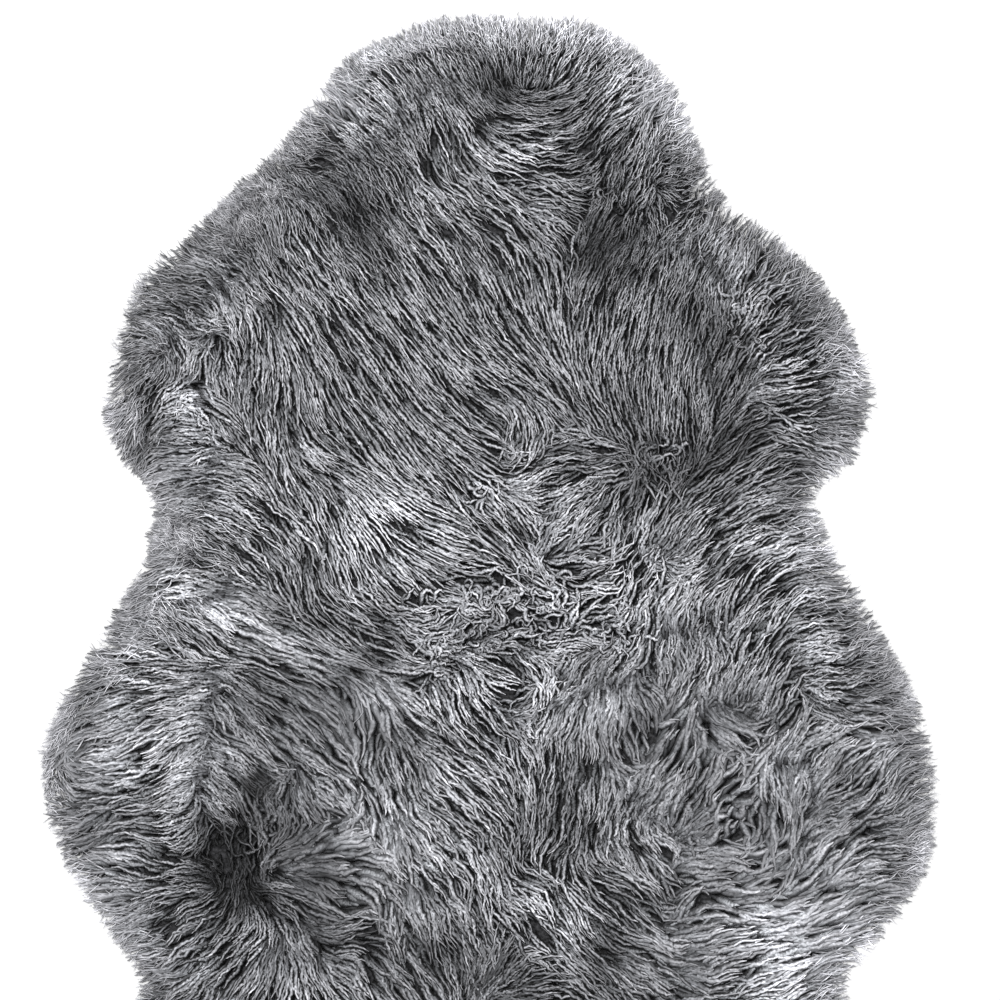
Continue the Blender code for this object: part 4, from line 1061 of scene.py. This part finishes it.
def wool_material(name, root, middle, tip, firm=1.0, softest=1.0, lightening="soft"):
    """Strands that run from the root's colour through the middle's to the tip's, each of fine fibres.

    The colours are taken firm times where the fact named by the last argument is nought, and softest
    times where it is 1. On the under coat this lifts its painted shade where the wool is soft; on the rim
    wool it is painted light, for the light that comes through the finest fibres.
    """
    material, tree = new_material(name)
    facts = {
        told: add(tree, "ShaderNodeAttribute", attribute_name=told).outputs["Fac"]
        for told in sorted(READ_BY_MATERIALS)
    }
    ramp = add(tree, "ShaderNodeValToRGB", {"Fac": facts["along"]})
    stops = ramp.color_ramp.elements
    stops[0].color = linear(root)
    stops[1].color = linear(tip)
    stops.new(MIDDLE).color = linear(middle)
    noises = []
    for pattern, read, detail, spread, lowest, highest in (
        (KINK_PATTERN, ("along", "tone"), 1.0, 0.2, -0.3, 0.3),
        (GLINT_PATTERN, ("along", "tone"), 1.0, 0.15, 0.0, 1.7),
        (FIBRE_PATTERN, ("side", "along", "tone"), 2.0, 0.2, 0.3, 1.7),
    ):
        drawn = add(tree, "ShaderNodeCombineXYZ", [facts[told] for told in read])
        drawn = add(tree, "ShaderNodeVectorMath", [drawn, pattern], operation="MULTIPLY")
        drawn = add(tree, "ShaderNodeTexNoise", {"Vector": drawn, "Scale": 1.0, "Detail": detail})
        drawn = {"Value": drawn, "From Min": 0.5 - spread, "From Max": 0.5 + spread}
        noises.append(add(tree, "ShaderNodeMapRange", drawn | {"To Min": lowest, "To Max": highest}))
    kinks, glints, streaks = noises

    # Painted highlight along its ridge, which wanders and glints, and painted shade at its edges, where
    # the strands beside it shadow it, except where it is soft.
    off_ridge = add(tree, "ShaderNodeMath", [facts["side"], kinks], operation="ADD")
    off_ridge = add(tree, "ShaderNodeMath", [off_ridge], operation="ABSOLUTE")
    shaded = {"Value": off_ridge, "From Min": RIDGE, "From Max": SIDE_EDGE, "To Min": 1.9, "To Max": 0.015}
    shaded = add(tree, "ShaderNodeMapRange", shaded, interpolation_type="SMOOTHSTEP")
    ridge = {"Value": off_ridge, "From Max": 0.45, "To Min": 1.0, "To Max": 0.0}
    ridge = add(tree, "ShaderNodeMapRange", ridge)
    shaded = add(tree, "ShaderNodeMath", [ridge, glints, shaded], operation="MULTIPLY_ADD")
    softness = add(tree, "ShaderNodeMath", [facts["soft"], SOFTEST], operation="MULTIPLY")
    shaded = {"Factor": softness, "A": shaded, "B": SOFT_SHADE}
    shaded = add(tree, "ShaderNodeMix", shaded, data_type="FLOAT")
    evened = add(tree, "ShaderNodeMath", [softness, SOFT_STREAKS], operation="MULTIPLY")
    streaks = add(tree, "ShaderNodeMix", {"Factor": evened, "A": streaks, "B": 1.0}, data_type="FLOAT")

    strength = {"Value": facts["tone"], "From Min": -1.1, "From Max": 1.1, "To Min": 0.1, "To Max": 1.8}
    strength = add(tree, "ShaderNodeMapRange", strength)
    lightened = {"Value": facts[lightening], "To Min": firm, "To Max": softest}
    lightened = add(tree, "ShaderNodeMapRange", lightened)
    # The charted patches, partly dye and partly painted light and shade, make the colour lighter or darker.
    paler = add(tree, "ShaderNodeMath", [facts["paler"], 1.0], operation="ADD")
    paler = add(tree, "ShaderNodeMath", [paler, DARKEST], operation="MAXIMUM")
    for times in (shaded, streaks, lightened, paler):
        strength = add(tree, "ShaderNodeMath", [strength, times], operation="MULTIPLY")
    colour = add(tree, "ShaderNodeVectorMath", {0: ramp, "Scale": strength}, operation="SCALE")
    finish = {"Base Color": colour, "Roughness": 0.6, "Specular IOR Level": 0.15}
    finish |= {"Sheen Weight": 0.03, "Sheen Roughness": 0.4}
    finish = add(tree, "ShaderNodeBsdfPrincipled", finish)
    add(tree, "ShaderNodeOutputMaterial", {"Surface": finish})
    return material


# The long wool is dyed. It is dark where a strand leaves the underwool and pale towards its tip. The dark
# near the root is partly the dye and partly painted shade, for the shadow deep among the strands, and
# towards the tip the dye took less and the light has faded it. Each strand is a bundle of fine fibres with
# a low silky gloss.
long_wool = wool_material("Dyed long wool with painted light and shade", "#1b1b1d", "#5f6063", "#7a7a7d")

COAT = {
    "Least Depth": 6 * MM,  # in from the rim, where the roots start and where they end
    "Most Depth": 1.0,
    "Lock Spacing": 9 * MM,
    "Density": 40000.0,  # strands on a square metre
    "Fade": MM,  # they thin out over this distance before the most depth
    "Length": 40 * MM,
    "Length Spread": 0.35,
    "Reach": 0.5 * MM,  # past the rim
    "Width": 4.6 * MM,  # of which a strand has half inside the rug, and less towards its rim
    "Flatness": 0.6,
    "Root Depth": 8 * MM,
    "Tip Dip": 1.6 * MM,
    "Lift": 2.4 * MM,
    "Sink": 0.0,
    "Crimp Swing": 24.0,  # degrees
    "Crimps": 1.5,  # waves along a strand, from side to side
    "Fray": 13.0,  # degrees that a lock may lie off the comb's line
    "Stray": 5.0,  # degrees that a strand may lie off its lock's
    "Ripple": 1.1 * MM,
    "Ripples": 1.7,  # waves along a strand, up and down
    "Kink": 0.4 * MM,
    "Yielding": 0.4,  # how far a strand turns to the comb at each step
    "Gather": 0.22,
    "Points": 6,
    "Lock Seed": 5,
    "Material": long_wool,
}
# name, from this many mm of the middle towards the neck, to this many
PARTS = (
    ("tail_wool", -600, -240),
    ("hip_wool", -240, -80),
    ("loin_wool", -80, 75),
    ("shoulder_wool", 75, 240),
    ("neck_wool", 240, 600),
)
for number, (name, start, end) in enumerate(PARTS):
    sizes = COAT | {"From": start * MM, "To": end * MM, "Seed": number + 1}
    piece = grown_piece(name, coat, sizes, "coat_sown")
    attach(piece, "root")

# ---------------------------------------------------------------------------------------------------
# Under coat. Shorter and thicker strands beneath the long ones, which close the gaps between the long
# wool's locks. They are coloured darker than the long wool as painted shade, for the shadow they lie in,
# and twice as light where the wool is soft, which lifts that painted shade there.

WHOLE_COAT = COAT | {"From": -1.0, "To": 1.0}
under_material = wool_material("Short under wool with painted shade", "#151516", "#404143", "#525355", softest=2.0)
UNDER = WHOLE_COAT | {
    "Least Depth": 12 * MM,
    "Density": 16500.0,
    "Length": 20 * MM,
    "Length Spread": 0.2,
    "Width": 5.4 * MM,
    "Flatness": 0.5,
    "Root Depth": 2 * MM,
    "Lift": 2 * MM,
    "Sink": 1.9 * MM,
    "Stray": 24.0,
    "Crimps": 0.8,
    "Ripple": 0.6 * MM,
    "Ripples": 1.0,
    "Gather": 0.0,
    "Points": 4,
    "Seed": 11,
    "Lock Seed": 50,
    "Material": under_material,
}
under_wool = grown_piece("under_wool", coat, UNDER, "under_sown")
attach(under_wool, "root")

# ---------------------------------------------------------------------------------------------------
# Curled locks. Strands that have rolled up into hooks and rings where the wool was rubbed, across the
# loin, under the crown and on the back, hips and right shoulder. They grow where the long wool is thinned.

CURLED = WHOLE_COAT | {
    "Least Depth": 20 * MM,
    "Density": 24000.0,
    "Length": 24 * MM,
    "Length Spread": 0.4,
    "Width": 5.6 * MM,
    "Flatness": 0.7,
    "Root Depth": 6 * MM,
    "Lift": 3 * MM,
    "Sink": -0.5 * MM,
    "Crimp Swing": 95.0,
    "Crimps": 0.7,
    "Fray": 40.0,
    "Stray": 14.0,
    "Ripple": 0.8 * MM,
    "Ripples": 1.2,
    "Gather": 0.3,
    "Points": 10,
    "Seed": 41,
    "Lock Seed": 200,
}
curled_wool = grown_piece("curled_wool", coat, CURLED, "curled")
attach(curled_wool, "root")

# ---------------------------------------------------------------------------------------------------
# Rim wool. The finest fibres, which hang out between the locks all round the rug and lie on the floor.
# They took less dye than the rest, and their light colours are partly painted light, for the light that
# comes through them: lighter still at the very rim and darker further in.

rim_material = wool_material(
    "Fine rim wool", "#5c5c60", "#98989c", "#c6c6ca", firm=0.45, softest=1.15, lightening="at_rim"
)
RIM = WHOLE_COAT | {
    "Least Depth": 1 * MM,
    "Most Depth": 38 * MM,
    "Fade": 30 * MM,
    "Lock Spacing": 8 * MM,
    "Density": 235000.0,
    "Length": 13 * MM,
    "Length Spread": 0.3,
    "Reach": 9 * MM,
    "Width": 1.9 * MM,
    "Flatness": 0.8,
    "Root Depth": 4 * MM,
    "Lift": 5 * MM,
    "Crimp Swing": 20.0,
    "Crimps": 0.8,
    "Fray": 7.0,
    "Stray": 50.0,
    "Ripple": 0.4 * MM,
    "Gather": 0.1,
    "Points": 3,
    "Seed": 21,
    "Lock Seed": 100,
    "Material": rim_material,
}
rim_wool = grown_piece("rim_wool", coat, RIM, "sown")
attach(rim_wool, "root")

# ---------------------------------------------------------------------------------------------------
# Loose fibres. Single thin strands that have worked out of their locks and lie across the others. They
# are the same long wool.

LOOSE = WHOLE_COAT | {
    "Least Depth": 14 * MM,
    "Density": 600.0,
    "Length": 34 * MM,
    "Width": 0.9 * MM,
    "Flatness": 0.9,
    "Root Depth": 5 * MM,
    "Lift": 4 * MM,
    "Crimp Swing": 40.0,
    "Crimps": 1.4,
    "Fray": 30.0,
    "Stray": 25.0,
    "Ripple": 0.5 * MM,
    "Gather": 0.0,
    "Points": 8,
    "Seed": 31,
    "Lock Seed": 150,
}
loose_wool = grown_piece("loose_wool", coat, LOOSE, "sown")
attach(loose_wool, "root")

# ---------------------------------------------------------------------------------------------------
# Studio. A pale floor that runs on past the picture, one large soft light high on the upper left and a
# weak even light from everywhere else.

FLOOR_SIDE = 14.0
FLOOR_COLOUR = "#f4f4f4"
KEY_SIDE = 1.6
KEY_POWER = 87.0
KEY_PLACE = (-0.5, 0.8, 2.9)
SKY_STRENGTH = 0.45

floor_form = bmesh.new()
bmesh.ops.create_grid(floor_form, x_segments=8, y_segments=8, size=FLOOR_SIDE / 2)
floor_mesh = bpy.data.meshes.new("floor")
floor_form.to_mesh(floor_mesh)
floor_form.free()
paper, tree = new_material("Pale studio paper")
finish = add(tree, "ShaderNodeBsdfPrincipled", {"Base Color": linear(FLOOR_COLOUR), "Roughness": 0.9})
add(tree, "ShaderNodeOutputMaterial", {"Surface": finish})
new_object("floor", floor_mesh, paper)

key_data = bpy.data.lights.new("key", "AREA")
key_data.size = KEY_SIDE
key_data.energy = KEY_POWER
key = bpy.data.objects.new("key", key_data)
key.location = KEY_PLACE
key.rotation_mode = "QUATERNION"
key.rotation_quaternion = Vector(KEY_PLACE).to_track_quat("Z", "Y")
key.visible_camera = False
bpy.context.scene.collection.objects.link(key)

world = bpy.data.worlds.new("studio")
world.use_nodes = True
sky = world.node_tree.nodes["Background"].inputs
sky["Color"].default_value = (1, 1, 1, 1)
sky["Strength"].default_value = SKY_STRENGTH
bpy.context.scene.world = world
bpy.context.scene.view_settings.view_transform = "Standard"

bpy.data.meshes.remove(grid_mesh)
